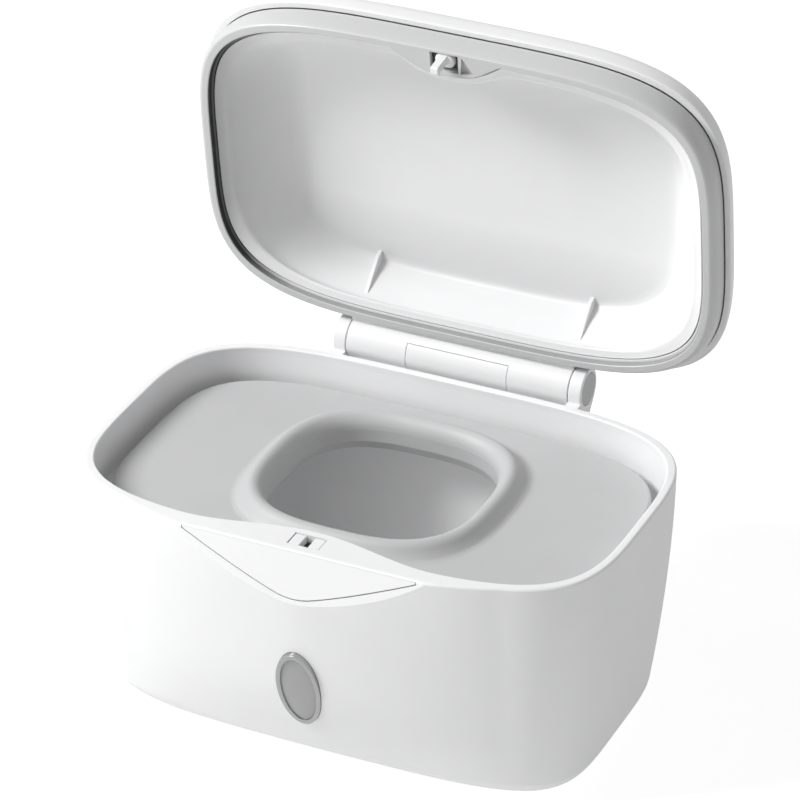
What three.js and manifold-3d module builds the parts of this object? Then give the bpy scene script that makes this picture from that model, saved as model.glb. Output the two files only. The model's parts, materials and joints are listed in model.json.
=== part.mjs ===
// Wipes dispenser: a deep box with a hinged dome lid, a push button latch and a lift-out plate.
// Millimetres, +Z up. The origin is the middle of the pad that the box stands on, +Y is the hinge side.
import * as THREE from 'three';
import { mergeVertices } from 'three/addons/utils/BufferGeometryUtils.js';
import Module from 'manifold-3d';

const wasm = await Module();
wasm.setup();

// Driving sizes of the box
const bodyWidth = 210;
const bodyDepth = 132;
const bodyHeight = 101;
const wall = 3.43;
const floorThickness = 3;
const sideLean = 9.5;
const depthLean = 12.7;
const baseFilletReach = 19;
const baseFilletRise = 12.5;
const prowReach = 9.4;
const prowHalfWidth = 75;
const prowRise = 45;

// Clearances
const gap = 0.3;
const overrun = 6;

// The widened front land and the facet under it
const landThickness = 3.2;
const landReach = 8.4;
const landHalfWidth = 52;
const creaseReach = 3.3;
const facetAngle = THREE.MathUtils.degToRad(15.7);
const facetWall = 3.2;

// The pad under the box
const padProud = 0.6;
const padThickness = 1.6;
const padInset = 6;

// The push button, in the plane of the facet
const buttonHalfWidth = 46.9;
const buttonTop = -0.9;
const buttonDepth = 19;
const buttonTipDrop = 2.2;
const buttonApexRound = 8;
const buttonSkin = 1.6;
const buttonCore = 1.9;
const buttonFlange = 1.4;
const buttonFlangeLap = 0.5;
const buttonTravel = 1.5;
const coreTop = -3.9;
const coreHalfWidth = 28;
const flangeTop = -8;
const flangeHalfWidth = 24;

// The latch behind the button
const guideWidth = 12.5;
const guideDepth = 7.25;
const guideInset = 4.6;
const guideSlot = 3.5;
const guideBridge = 0.85;
const guideBridgeDrop = 1.4;
const guideSunk = 0.15;
const sliderThickness = 2.2;
const sliderHalfWidth = 8;
const sliderFrontBar = 1.4;
const sliderRearBar = 1.9;
const sliderWindowWidth = 4.8;
const earReach = 7;
const earHeight = 4;
const tongueWidth = 2.8;
const tongueDepth = 3;
const tongueInset = 4.1;
const noseReach = 1.5;
const noseHeight = 2.4;
const hookHalfWidth = 3.7;
const hookDepth = 5.6;
const hookPlateHalfWidth = 9.5;
const hookPlateThickness = 1.6;
const springWire = 0.3;
const springRadius = 1.5;
const springTurns = 5;
const springRoom = 1.65;
const catchSpringX = 12;
const buttonSpringX = 16;

// The cover that closes the latch chamber towards the wipes
const coverWall = 1.8;
const coverDrop = 25;
const coverHalfWidth = 47;
const bossRadius = 2.6;
const bossX = 33;
const bossInset = 1.2;
const screwRadius = 1.1;
const screwHeadRadius = 2;
const screwHeadHeight = 1.5;
const screwLength = 12;

// The oval window
const windowZ = 42.6;
const windowHalfWidth = 8.8;
const windowHalfHeight = 17.6;
const windowBand = 1.9;
const windowLap = 0.9;
const windowProud = 0.8;
const windowDeep = 3;
const windowTilt = THREE.MathUtils.degToRad(14);
const paneFront = 1.2;
const paneThickness = 1.2;
const sealThickness = 0.8;
const sealWidth = 1.2;

// The inner plate
const plateDrop = 12;
const plateSideInset = 8.8;
const plateFrontInset = 8.1;
const plateShiftY = 1;
const plateHeight = 9;
const plateSkin = 2.2;
const plateBaseThickness = 2;
const plateNotch = 5;
const plateEdgeRound = 1.2;
const mouthHalfWidth = 35.5;
const mouthHalfDepth = 31;
const mouthShiftY = 3.1;
const collarWidth = 12.5;
const collarHeight = 5.2;
const seatInset = 45;
const seatReach = 9.5;
const seatThickness = 3;
const seatHeight = 26;
const seatLip = 2.5;
const seatRun = 3;
const weightWidth = 22;
const weightDepth = 72;
const weightThickness = 4.4;
const weightInset = 33;
const weightCorner = 4;

// The lid, measured when it is shut
const lidOpenAngle = THREE.MathUtils.degToRad(82.6);
const frameHeight = 11.3;
const frameTopInset = 1.9;
const frameTopReach = 1.4;
const lidShiftY = 2;
const frameWall = 2.4;
const flangeThickness = 2.2;
const frameMouthSideInset = 5.9;
const frameMouthFrontInset = 3.5;
const sideRoll = 3.6;
const frontRoll = 1.2;
const rollRise = 8.5;
const lipHeight = 5.4;
const lidLandReach = 8;
const lidLandHalfWidth = 21.5;
const hookWindowWidth = 11.1;
const hookWindowInset = 2;
const hookWindowDepth = 7.4;
const notchDepth = 1.2;
const notchLeft = 6.3;
const notchRight = 12.2;
const notchApexX = 7;
const coverSideReach = 0.6;
const coverFrontReach = 3.8;
const coverSkin = 2.2;
const coverRise = 19.4;
const coverCrownInset = 52;
const coverCrownDepthInset = 30;
const linerSkin = 1.6;
const linerStrip = 2.2;
const stripDrop = 1.2;
const linerHeight = 22.1;
const linerInset = 21.5;
const linerBackInset = 3.4;
const grooveWidth = 1.4;
const linerSunk = 2.6;
const ribX = 44;
const ribThickness = 1.4;
const ribReach = 5.6;
const gasketWidth = 0.8;
const gasketHeight = 2.4;
const gasketSunk = 2.4;

// The hinge
const hingeReach = 9.37;
const hingeRise = 2.87;
const barrelRadius = 8.08;
const barrelHalfWidth = 45.7;
const knuckleWidth = 5.2;
const knuckleDrop = 26;
const knuckleRootShare = 0.7;
const barrelCavityRadius = 5.9;
const barrelEndWall = 4.6;
const pinRadius = 2;
const bushRadius = 3.6;
const capRadius = 6.4;
const capThickness = 1.2;
const webBottom = 2;
const webTop = 9.5;
const panelHalfWidth = 20.8;
const panelThickness = 1.1;
const panelLedge = 2.6;
const panelHalfAngle = THREE.MathUtils.degToRad(39);
const panelLedgeAngle = THREE.MathUtils.degToRad(6);
const panelAngle = THREE.MathUtils.degToRad(257.6);
const liftSpringTurns = 8;
const liftSpringWire = 0.5;
const liftSpringLength = 30;
const damperRadius = 5.4;
const damperLength = 28;
const cavityEndRoom = 3;

// Shapes without a length
const outlineSteps = 52;
const cornerPull = 0.35;
const leanPower = 1.72;
const topPowers = { side: 4.3, front: 3.89, back: 3.75 };
const basePower = 4.9;
const roundSegments = 32;
const smallSegments = 12;
const helixSteps = 7;
const wireSides = 4;

// Places worked out from the sizes above
const frontY = -bodyDepth / 2;
const creaseY = frontY - creaseReach;
const guideY = frontY + guideInset;
const tongueY = frontY + tongueInset;
const bossY = frontY + bossInset;
const seatX = bodyWidth / 2 - seatInset;
const weightX = bodyWidth / 2 - weightInset;
const plateHalfWidth = bodyWidth / 2 - plateSideInset;
const plateHalfDepth = bodyDepth / 2 - plateFrontInset;
const frameTopHalfWidth = bodyWidth / 2 - frameTopInset;
const frameTopHalfDepth = bodyDepth / 2 + frameTopReach;
const frameMouthHalfWidth = bodyWidth / 2 - frameMouthSideInset;
const frameMouthHalfDepth = bodyDepth / 2 - frameMouthFrontInset;
const hookWindowFront = frontY + hookWindowInset;
const hookWindowBack = hookWindowFront + hookWindowDepth;
const coverHalfOuterWidth = bodyWidth / 2 + coverSideReach;
const coverHalfOuterDepth = bodyDepth / 2 + coverFrontReach;
const hingeY = bodyDepth / 2 + hingeReach;
const rimZ = padProud + bodyHeight;
const floorTop = padProud + floorThickness;
const landBottom = rimZ - landThickness;
const hingeZ = rimZ + hingeRise;
const knuckleOuter = barrelHalfWidth + gap + knuckleWidth;
const lidFloor = rimZ + gap;
const plateTopZ = rimZ - plateDrop;
const plateBottomZ = plateTopZ - plateHeight;
const sliderTop = landBottom - gap;
const sliderBottom = sliderTop - sliderThickness;
const tongueFront = tongueY - tongueDepth / 2;
const tongueBack = tongueY + tongueDepth / 2;
const springDiameter = 2 * (springRadius + springWire);

// Materials
function plastic(name, colour, roughness) {
  return new THREE.MeshStandardMaterial({ name, color: colour, roughness, metalness: 0 });
}

function metal(name, colour, roughness) {
  return new THREE.MeshStandardMaterial({ name, color: colour, roughness, metalness: 1 });
}

// Solids and their cuts and joins
function solid(geometry) {
  const bare = geometry.clone();
  bare.deleteAttribute('normal');
  bare.deleteAttribute('uv');
  const merged = mergeVertices(bare);
  const vertProperties = new Float32Array(merged.attributes.position.array);
  const triVerts = new Uint32Array(merged.index.array);
  return new wasm.Manifold(new wasm.Mesh({ numProp: 3, vertProperties, triVerts }));
}

function surface(manifold) {
  const mesh = manifold.getMesh();
  const geometry = new THREE.BufferGeometry();
  geometry.setAttribute('position', new THREE.BufferAttribute(new Float32Array(mesh.vertProperties), 3));
  geometry.setIndex(new THREE.BufferAttribute(new Uint32Array(mesh.triVerts), 1));
  geometry.computeVertexNormals();
  return geometry;
}

function cut(body, ...tools) {
  return tools.reduce((rest, tool) => rest.subtract(tool), body);
}

function join(body, ...others) {
  return others.reduce((whole, other) => whole.add(other), body);
}

// Superellipse outlines, with more points near the corners; front moves the front half along Y
function outlineTurn(share, power) {
  const quarter = Math.PI / 2;
  const corner = Math.floor(share * 4);
  const even = (share * 4 - corner) * quarter;
  const pulled = even + (cornerPull * Math.sin(4 * even)) / 4;
  return corner * quarter + Math.atan(Math.tan(pulled) ** (power / 2));
}

function boxOutline({ halfWidth, halfDepth, powers = topPowers, shiftY = 0, front = () => 0 }) {
  const points = [];
  for (let step = 0; step < outlineSteps; step += 1) {
    const turn = outlineTurn(step / outlineSteps, powers.side);
    const across = Math.cos(turn);
    const along = Math.sin(turn);
    const power = along < 0 ? powers.front : powers.back;
    const x = halfWidth * Math.sign(across) * Math.abs(across) ** (2 / powers.side);
    const y = halfDepth * Math.sign(along) * Math.abs(along) ** (2 / power);
    points.push(new THREE.Vector2(x, shiftY + y + (along < 0 ? front(x) : 0)));
  }
  return points;
}

// A solid through outlines of equal point count; closed levels make a ring instead of end faces
function loft(levels, closed = false) {
  const count = levels[0].outline.length;
  const positions = levels.flatMap(({ z, outline }) => outline.flatMap((point) => [point.x, point.y, z]));
  const indices = [];
  const bands = closed ? levels.length : levels.length - 1;
  for (let band = 0; band < bands; band += 1) {
    const lower = band * count;
    const upper = ((band + 1) % levels.length) * count;
    for (let step = 0; step < count; step += 1) {
      const next = (step + 1) % count;
      indices.push(lower + step, lower + next, upper + next);
      indices.push(lower + step, upper + next, upper + step);
    }
  }
  if (!closed) {
    const last = (levels.length - 1) * count;
    for (const [a, b, c] of THREE.ShapeUtils.triangulateShape(levels[0].outline, [])) {
      indices.push(a, c, b);
    }
    for (const [a, b, c] of THREE.ShapeUtils.triangulateShape(levels[levels.length - 1].outline, [])) {
      indices.push(last + a, last + b, last + c);
    }
  }
  const geometry = new THREE.BufferGeometry();
  geometry.setAttribute('position', new THREE.Float32BufferAttribute(positions, 3));
  geometry.setIndex(indices);
  geometry.computeVertexNormals();
  return geometry;
}

// Extrusions along each axis between two places
const axisX = new THREE.Vector3(1, 0, 0);
const axisY = new THREE.Vector3(0, 1, 0);
const axisZ = new THREE.Vector3(0, 0, 1);

function slabZ(shape, from, to) {
  const options = { depth: to - from, bevelEnabled: false, curveSegments: smallSegments };
  return new THREE.ExtrudeGeometry(shape, options).translate(0, 0, from);
}

function slabY(shape, from, to) {
  const turned = new THREE.Matrix4().makeBasis(axisX, axisZ, axisY.clone().negate());
  return slabZ(shape, 0, to - from).applyMatrix4(turned).translate(0, to, 0);
}

function slabX(shape, from, to) {
  const turned = new THREE.Matrix4().makeBasis(axisY, axisZ, axisX);
  return slabZ(shape, 0, to - from).applyMatrix4(turned).translate(from, 0, 0);
}

function box(from, to) {
  const size = new THREE.Vector3().subVectors(to, from);
  const middle = new THREE.Vector3().addVectors(from, to).multiplyScalar(1 / 2);
  return new THREE.BoxGeometry(size.x, size.y, size.z).translate(middle.x, middle.y, middle.z);
}

function block(x, y, z) {
  return box(new THREE.Vector3(x[0], y[0], z[0]), new THREE.Vector3(x[1], y[1], z[1]));
}

function rod(radius, from, to, y, z, segments = roundSegments) {
  const geometry = new THREE.CylinderGeometry(radius, radius, to - from, segments);
  return geometry.rotateZ(Math.PI / 2).translate((from + to) / 2, y, z);
}

function post(radius, x, y, from, to) {
  const geometry = new THREE.CylinderGeometry(radius, radius, to - from, smallSegments);
  return geometry.rotateX(Math.PI / 2).translate(x, y, (from + to) / 2);
}

function polygon(points) {
  return new THREE.Shape(points.map(([x, y]) => new THREE.Vector2(x, y)));
}

function ellipse(halfWidth, halfHeight) {
  const shape = new THREE.Shape();
  shape.absellipse(0, 0, halfWidth, halfHeight, 0, 2 * Math.PI, false, 0);
  return shape;
}

function ellipseRing(halfWidth, halfHeight, width) {
  const shape = ellipse(halfWidth, halfHeight);
  shape.holes.push(ellipse(halfWidth - width, halfHeight - width));
  return shape;
}

// A coil of wire whose axis is Z, starting at zero
class Helix extends THREE.Curve {
  constructor(radius, length, turns) {
    super();
    Object.assign(this, { radius, length, turns });
  }

  getPoint(share, target = new THREE.Vector3()) {
    const turn = share * this.turns * 2 * Math.PI;
    return target.set(this.radius * Math.cos(turn), this.radius * Math.sin(turn), this.length * share);
  }
}

function coil(radius, wire, length, turns) {
  const section = new THREE.Shape();
  for (let side = 0; side < wireSides; side += 1) {
    const turn = (side / wireSides) * 2 * Math.PI;
    const move = side === 0 ? 'moveTo' : 'lineTo';
    section[move](wire * Math.cos(turn), wire * Math.sin(turn));
  }
  const path = new Helix(radius, length - 2 * wire, turns);
  const options = { steps: turns * helixSteps, extrudePath: path, bevelEnabled: false };
  return new THREE.ExtrudeGeometry(section, options).translate(0, 0, wire);
}

// The forms that box, lid and plate share along the front
function prow(x) {
  const share = Math.min(1, Math.abs(x) / prowHalfWidth);
  return (1 - share ** 1.5) ** 1.05;
}

function landBell(x) {
  const share = Math.min(1, Math.abs(x) / landHalfWidth);
  return Math.cos((share * Math.PI) / 2) ** 2;
}

function lidLandBell(x) {
  const share = Math.min(1, Math.abs(x) / lidLandHalfWidth);
  return (1 - share ** 2.6) ** 1.2;
}

// The outside of the box at a height over its base, moved in by inset
function bodyOutline(height, inset) {
  const lean = (1 - height / bodyHeight) ** leanPower;
  const roll = Math.max(0, 1 - height / baseFilletRise);
  const fillet = baseFilletReach * (1 - Math.sqrt(1 - roll ** 2));
  const rise = Math.min(1, height / prowRise);
  const reach = prowReach * Math.sin((rise * Math.PI) / 2) ** 1.3;
  const blend = (power) => power + (basePower - power) * lean;
  return boxOutline({
    halfWidth: bodyWidth / 2 - sideLean * lean - fillet - inset,
    halfDepth: bodyDepth / 2 - depthLean * lean - fillet - inset,
    powers: { side: blend(topPowers.side), front: blend(topPowers.front), back: blend(topPowers.back) },
    front: (x) => -reach * prow(x),
  });
}

const filletShares = [0, 0.06, 0.2, 0.42, 0.7, 1];
const wallShares = [0.2, 0.3, 0.42, 0.58, 0.78, 1];
const innerShares = [0.02, 0.06, 0.12, 0.28, 0.45, 0.7, 1];

function bodyOutside() {
  const heights = filletShares.map((share) => share * baseFilletRise);
  heights.push(...wallShares.map((share) => share * bodyHeight));
  return solid(loft(heights.map((height) => ({ z: padProud + height, outline: bodyOutline(height, 0) }))));
}

// The inside of the box up to the land, kept clear of the facet's wall
function bodyInside(inset) {
  const heights = [0, ...innerShares.map((share) => share * bodyHeight)];
  const squeeze = (landBottom - floorTop) / bodyHeight;
  const levels = heights.map((height) => {
    const z = floorTop + height * squeeze;
    return { z, outline: bodyOutline(height * (landBottom - padProud) / bodyHeight, inset) };
  });
  return cut(solid(loft(levels)), facetSpace(facetWall + inset - wall));
}

// Everything in front of a plane that lies depth behind the facet
const facetPlace = new THREE.Matrix4().makeRotationX(-facetAngle).setPosition(0, creaseY, rimZ);

function inFacet(geometry) {
  return geometry.applyMatrix4(facetPlace);
}

function facetSpace(depth) {
  const reach = bodyWidth / 2;
  return solid(inFacet(block([-reach, reach], [-reach, depth], [-bodyHeight, reach])));
}

// The mouth of the box at the rim, with the widened land in front
function mouthOutline(inset, reach) {
  return boxOutline({
    halfWidth: bodyWidth / 2 - inset,
    halfDepth: bodyDepth / 2 - inset,
    front: (x) => reach * landBell(x),
  });
}

function buttonLine(x, grow) {
  const slope = (buttonDepth - buttonTipDrop) / buttonHalfWidth;
  return -buttonDepth + slope * Math.abs(x) - grow * Math.hypot(1, slope);
}

function buttonShape(grow, top, halfWidth) {
  const end = halfWidth + grow;
  const shape = new THREE.Shape();
  shape.moveTo(-end, top + grow);
  shape.lineTo(-end, buttonLine(end, grow));
  shape.lineTo(-buttonApexRound, buttonLine(buttonApexRound, grow));
  shape.quadraticCurveTo(0, buttonLine(0, grow), buttonApexRound, buttonLine(buttonApexRound, grow));
  shape.lineTo(end, buttonLine(end, grow));
  shape.lineTo(end, top + grow);
  return shape;
}

const windowPlace = new THREE.Matrix4().makeRotationX(windowTilt);

function windowFrontY() {
  const outline = bodyOutline(windowZ, 0);
  return Math.min(...outline.map((point) => point.y));
}

function inWindow(geometry) {
  windowPlace.setPosition(0, windowFrontY(), padProud + windowZ);
  return geometry.applyMatrix4(windowPlace);
}

// The inner plate stands on four brackets in the corners of the box
function seats() {
  const tops = plateBottomZ - gap;
  const root = bodyDepth / 2;
  const lip = root - wall - seatReach;
  const pieces = [];
  for (const side of [-1, 1]) {
    for (const end of [-1, 1]) {
      const bracket = polygon([
        [end * (root + prowReach), tops],
        [end * lip, tops],
        [end * lip, tops - seatLip],
        [end * (root - wall - seatRun), tops - seatHeight],
        [end * (root + prowReach), tops - seatHeight],
      ]);
      const middle = side * seatX;
      pieces.push(solid(slabX(bracket, middle - seatThickness / 2, middle + seatThickness / 2)));
    }
  }
  return pieces;
}

// The point where a line from a corner of the wall touches the underside of a knuckle
function knuckleTangent(fromY, fromZ) {
  const across = hingeY - fromY;
  const up = hingeZ - fromZ;
  const distance = Math.hypot(across, up);
  const angle = Math.atan2(up, across) - Math.asin(barrelRadius / distance);
  const reach = Math.sqrt(distance ** 2 - barrelRadius ** 2);
  return [fromY + reach * Math.cos(angle), fromZ + reach * Math.sin(angle)];
}

function knuckle(side) {
  const inner = side * (barrelHalfWidth + gap);
  const outer = side * knuckleOuter;
  const from = Math.min(inner, outer);
  const to = Math.max(inner, outer);
  const root = bodyDepth / 2 - wall * knuckleRootShare;
  const foot = rimZ - knuckleDrop;
  const web = polygon([[root, foot], knuckleTangent(root, foot), [hingeY, rimZ], [root, rimZ]]);
  const drum = solid(rod(barrelRadius, from, to, hingeY, hingeZ));
  const pinHole = solid(rod(pinRadius + gap, from - overrun, to + overrun, hingeY, hingeZ, smallSegments));
  const capDepth = capThickness + gap;
  const capFrom = side > 0 ? outer - capDepth : outer - overrun;
  const capTo = side > 0 ? outer + overrun : outer + capDepth;
  const capHole = solid(rod(capRadius + gap, capFrom, capTo, hingeY, hingeZ));
  return cut(join(drum, solid(slabX(web, from, to))), pinHole, capHole);
}

function latchBoss(side) {
  const bottom = rimZ - coverDrop + coverWall + gap;
  return solid(post(bossRadius, side * bossX, bossY, bottom, landBottom + gap));
}

function screwHole(side) {
  const bottom = rimZ - coverDrop;
  return solid(post(screwRadius + gap, side * bossX, bossY, bottom, bottom + coverWall + screwLength + gap));
}

function bodyShell() {
  const outside = bodyOutside();
  const mouth = solid(loft([
    { z: landBottom - overrun, outline: mouthOutline(wall, landReach) },
    { z: rimZ + overrun, outline: mouthOutline(wall, landReach) },
  ]));
  const brackets = seats().map((bracket) => outside.intersect(bracket));
  const bosses = [-1, 1].map((side) => outside.intersect(latchBoss(side)));
  const hollow = cut(outside, bodyInside(wall), mouth);
  const joined = join(hollow, ...brackets, ...bosses, knuckle(-1), knuckle(1));
  const buttonHole = solid(inFacet(slabY(
    buttonShape(gap, buttonTop, buttonHalfWidth),
    -overrun,
    buttonSkin + buttonTravel + gap,
  )));
  const guideHole = solid(block(
    [-guideWidth / 2, guideWidth / 2],
    [guideY - guideDepth / 2, guideY + guideDepth / 2],
    [landBottom - gap, rimZ + overrun],
  ));
  const windowHole = solid(inWindow(slabY(
    ellipse(windowHalfWidth + gap, windowHalfHeight + gap),
    -overrun,
    wall + overrun,
  )));
  const padHole = solid(loft([
    { z: -overrun, outline: bodyOutline(0, padInset - gap) },
    { z: padThickness, outline: bodyOutline(0, padInset - gap) },
  ]));
  return cut(joined, facetSpace(0), buttonHole, guideHole, windowHole, padHole, screwHole(-1), screwHole(1));
}

function basePad() {
  return loft([
    { z: 0, outline: bodyOutline(0, padInset) },
    { z: padThickness, outline: bodyOutline(0, padInset) },
  ]);
}

// Latch pieces
function pushButton() {
  const coreEnd = buttonSkin + buttonCore;
  const skin = solid(slabY(buttonShape(0, buttonTop, buttonHalfWidth), 0, buttonSkin));
  const core = solid(slabY(buttonShape(0, coreTop, coreHalfWidth), buttonSkin, coreEnd));
  const lap = buttonShape(buttonFlangeLap, flangeTop, flangeHalfWidth);
  const flange = solid(slabY(lap, coreEnd, coreEnd + buttonFlange));
  return inFacet(surface(join(skin, core, flange)));
}

// How far behind the facet's crease a place on the button's back lies, seen from above
function facetY(depth, drop) {
  return creaseY + depth * Math.cos(facetAngle) + drop * Math.sin(facetAngle);
}

function facetZ(depth, drop) {
  return rimZ - depth * Math.sin(facetAngle) + drop * Math.cos(facetAngle);
}

const sliderFront = facetY(buttonSkin + buttonCore, coreTop) + gap;
const sliderHold = tongueBack + gap;

function catchSlider() {
  const back = sliderHold + sliderRearBar;
  const front = sliderFront;
  const plate = solid(block([-sliderHalfWidth, sliderHalfWidth], [front, back], [sliderBottom, sliderTop]));
  const hole = solid(block(
    [-sliderWindowWidth / 2, sliderWindowWidth / 2],
    [front + sliderFrontBar, sliderHold],
    [sliderBottom - overrun, sliderTop + overrun],
  ));
  const earEnd = sliderHalfWidth + earReach;
  const ears = solid(block(
    [-earEnd, earEnd],
    [front, front + sliderFrontBar],
    [sliderTop - earHeight, sliderTop],
  ));
  return surface(cut(join(plate, ears), hole));
}

function latchGuide() {
  const half = guideWidth / 2 - gap;
  const front = guideY - guideDepth / 2 + gap;
  const back = guideY + guideDepth / 2 - gap;
  const whole = solid(block([-half, half], [front, back], [landBottom, rimZ - guideSunk]));
  const slot = solid(block(
    [-guideSlot / 2, guideSlot / 2],
    [front + guideBridge, back + overrun],
    [landBottom - overrun, rimZ + overrun],
  ));
  const step = solid(block(
    [-guideSlot / 2, guideSlot / 2],
    [front - overrun, back],
    [rimZ - guideBridgeDrop, rimZ + overrun],
  ));
  return surface(cut(whole, slot, step));
}

// The plan of the latch cover: behind it lie the wipes, in front of it the latch
function coverPlan(halfWidth, inset) {
  const shape = new THREE.Shape();
  const far = -bodyDepth;
  shape.moveTo(-halfWidth, far);
  shape.lineTo(halfWidth, far);
  for (let step = roundSegments; step >= 0; step -= 1) {
    const x = halfWidth * ((2 * step) / roundSegments - 1);
    shape.lineTo(x, -bodyDepth / 2 + wall - inset + landReach * landBell(x));
  }
  return shape;
}

function latchCover() {
  const bottom = rimZ - coverDrop;
  const outside = solid(slabZ(coverPlan(coverHalfWidth, 0), bottom, landBottom - gap));
  const inside = solid(slabZ(coverPlan(coverHalfWidth - coverWall, coverWall), bottom + coverWall, rimZ));
  const fitted = bodyInside(wall + gap).intersect(outside);
  const clearances = [-1, 1].map((side) => solid(post(
    bossRadius + gap,
    side * bossX,
    bossY,
    bottom + coverWall,
    rimZ,
  )));
  return surface(cut(fitted, inside, ...clearances, screwHole(-1), screwHole(1)));
}

function latchScrew(side) {
  const bottom = rimZ - coverDrop;
  const shank = solid(post(screwRadius, side * bossX, bossY, bottom - gap, bottom + coverWall + screwLength));
  const head = solid(post(screwHeadRadius, side * bossX, bossY, bottom - screwHeadHeight, bottom));
  return surface(join(shank, head));
}

// A spring along Y from near a moving piece back to the latch cover
function latchSpring(x, z, front) {
  const outer = Math.abs(x) + springDiameter / 2;
  const back = -bodyDepth / 2 + wall - coverWall + landReach * landBell(outer) - gap;
  const geometry = coil(springRadius, springWire, back - front - springRoom, springTurns);
  return geometry.rotateX(-Math.PI / 2).translate(x, front + springRoom, z);
}

function catchSpring(side) {
  const z = sliderTop - earHeight / 2;
  return latchSpring(side * catchSpringX, z, sliderFront + sliderFrontBar);
}

function buttonSpring(side) {
  const depth = buttonSkin + buttonCore + buttonFlange;
  const drop = (flangeTop + buttonLine(buttonSpringX, 0)) / 2;
  const highest = facetY(depth, drop + springDiameter / 2);
  return latchSpring(side * buttonSpringX, facetZ(depth, drop), highest);
}

// The window's pieces
function windowBezel() {
  const innerWidth = windowHalfWidth - windowBand;
  const innerHeight = windowHalfHeight - windowBand;
  const band = ellipseRing(windowHalfWidth, windowHalfHeight, windowBand);
  const ring = solid(slabY(band, -windowProud, windowDeep));
  const rebate = ellipse(innerWidth + windowLap, innerHeight + windowLap);
  return inWindow(surface(cut(ring, solid(slabY(rebate, paneFront - gap, windowDeep + overrun)))));
}

function windowPane() {
  const halfWidth = windowHalfWidth - windowBand + windowLap - gap;
  const halfHeight = windowHalfHeight - windowBand + windowLap - gap;
  return inWindow(slabY(ellipse(halfWidth, halfHeight), paneFront, paneFront + paneThickness));
}

function windowSeal() {
  const halfWidth = windowHalfWidth - windowBand + windowLap - gap;
  const halfHeight = windowHalfHeight - windowBand + windowLap - gap;
  const front = paneFront + paneThickness + gap;
  return inWindow(slabY(ellipseRing(halfWidth, halfHeight, sealWidth), front, front + sealThickness));
}

// The inner plate: a skin with a soft collar, closed below by a tray
const platePowers = { side: 4.8, front: 3.7, back: 3.7 };
const mouthPowers = { side: 2.9, front: 3, back: 3 };

function plateOutline(inset) {
  return boxOutline({
    halfWidth: plateHalfWidth - inset,
    halfDepth: plateHalfDepth - inset,
    powers: platePowers,
    shiftY: plateShiftY,
    front: (x) => plateNotch * landBell(x),
  });
}

function mouthRing(offset) {
  return boxOutline({
    halfWidth: mouthHalfWidth + offset,
    halfDepth: mouthHalfDepth + offset,
    powers: mouthPowers,
    shiftY: mouthShiftY,
  });
}

const collarShares = [[1, 0], [0.84, 0.1], [0.64, 0.42], [0.44, 0.82], [0.26, 1], [0.1, 0.9], [0.02, 0.66]];

function plateTop() {
  const under = plateTopZ - plateSkin;
  const levels = [
    { z: plateBottomZ, outline: plateOutline(0) },
    { z: plateTopZ - plateEdgeRound, outline: plateOutline(0) },
    { z: plateTopZ - plateEdgeRound / 3, outline: plateOutline(plateEdgeRound / 3) },
    { z: plateTopZ, outline: plateOutline(plateEdgeRound) },
  ];
  for (const [out, up] of collarShares) {
    levels.push({ z: plateTopZ + up * collarHeight, outline: mouthRing(out * collarWidth) });
  }
  levels.push({ z: plateTopZ, outline: mouthRing(0) });
  levels.push({ z: plateBottomZ, outline: mouthRing(0) });
  levels.push({ z: plateBottomZ, outline: mouthRing(plateSkin) });
  levels.push({ z: under + collarHeight / 2, outline: mouthRing(plateSkin) });
  levels.push({ z: under, outline: mouthRing(collarWidth) });
  levels.push({ z: under, outline: plateOutline(plateSkin) });
  levels.push({ z: plateBottomZ, outline: plateOutline(plateSkin) });
  return loft(levels, true);
}

function plateBase() {
  const top = plateBottomZ + plateBaseThickness;
  return loft([
    { z: plateBottomZ, outline: plateOutline(plateSkin + gap) },
    { z: top, outline: plateOutline(plateSkin + gap) },
    { z: top, outline: mouthRing(plateSkin + gap) },
    { z: plateBottomZ, outline: mouthRing(plateSkin + gap) },
  ], true);
}

function plateWeight(side) {
  const halfWidth = weightWidth / 2;
  const halfDepth = weightDepth / 2;
  const shortWidth = halfWidth - weightCorner;
  const shortDepth = halfDepth - weightCorner;
  const shape = polygon([
    [halfWidth, -shortDepth],
    [halfWidth, shortDepth],
    [shortWidth, halfDepth],
    [-shortWidth, halfDepth],
    [-halfWidth, shortDepth],
    [-halfWidth, -shortDepth],
    [-shortWidth, -halfDepth],
    [shortWidth, -halfDepth],
  ]);
  const from = plateBottomZ + plateBaseThickness;
  return slabZ(shape, from, from + weightThickness).translate(side * weightX, plateShiftY, 0);
}

// The lid's outlines
const framePowers = { side: 3.9, front: 4.2, back: 4.2 };

function frameOuter(rise) {
  const share = rise / frameHeight;
  const mix = (low, high) => low + (high - low) * share;
  const roll = Math.max(0, 1 - rise / rollRise);
  const inward = 1 - Math.sqrt(1 - roll ** 2);
  return {
    width: mix(bodyWidth / 2, frameTopHalfWidth) - sideRoll * inward,
    depth: mix(bodyDepth / 2, frameTopHalfDepth) - frontRoll * inward,
    share,
  };
}

function frameOutline(rise, inset) {
  const { width, depth, share } = frameOuter(rise);
  return boxOutline({ halfWidth: width - inset, halfDepth: depth - inset, shiftY: lidShiftY * share });
}

function lidMouthOutline(inset, reach = lidLandReach) {
  return boxOutline({
    halfWidth: frameMouthHalfWidth - inset,
    halfDepth: frameMouthHalfDepth - inset,
    powers: framePowers,
    front: (x) => reach * lidLandBell(x),
  });
}

// The frame's side rolls in to its free edge, at these shares of the roll's rise
const rollShares = [0, 0.05, 0.17, 0.4, 1];

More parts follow.
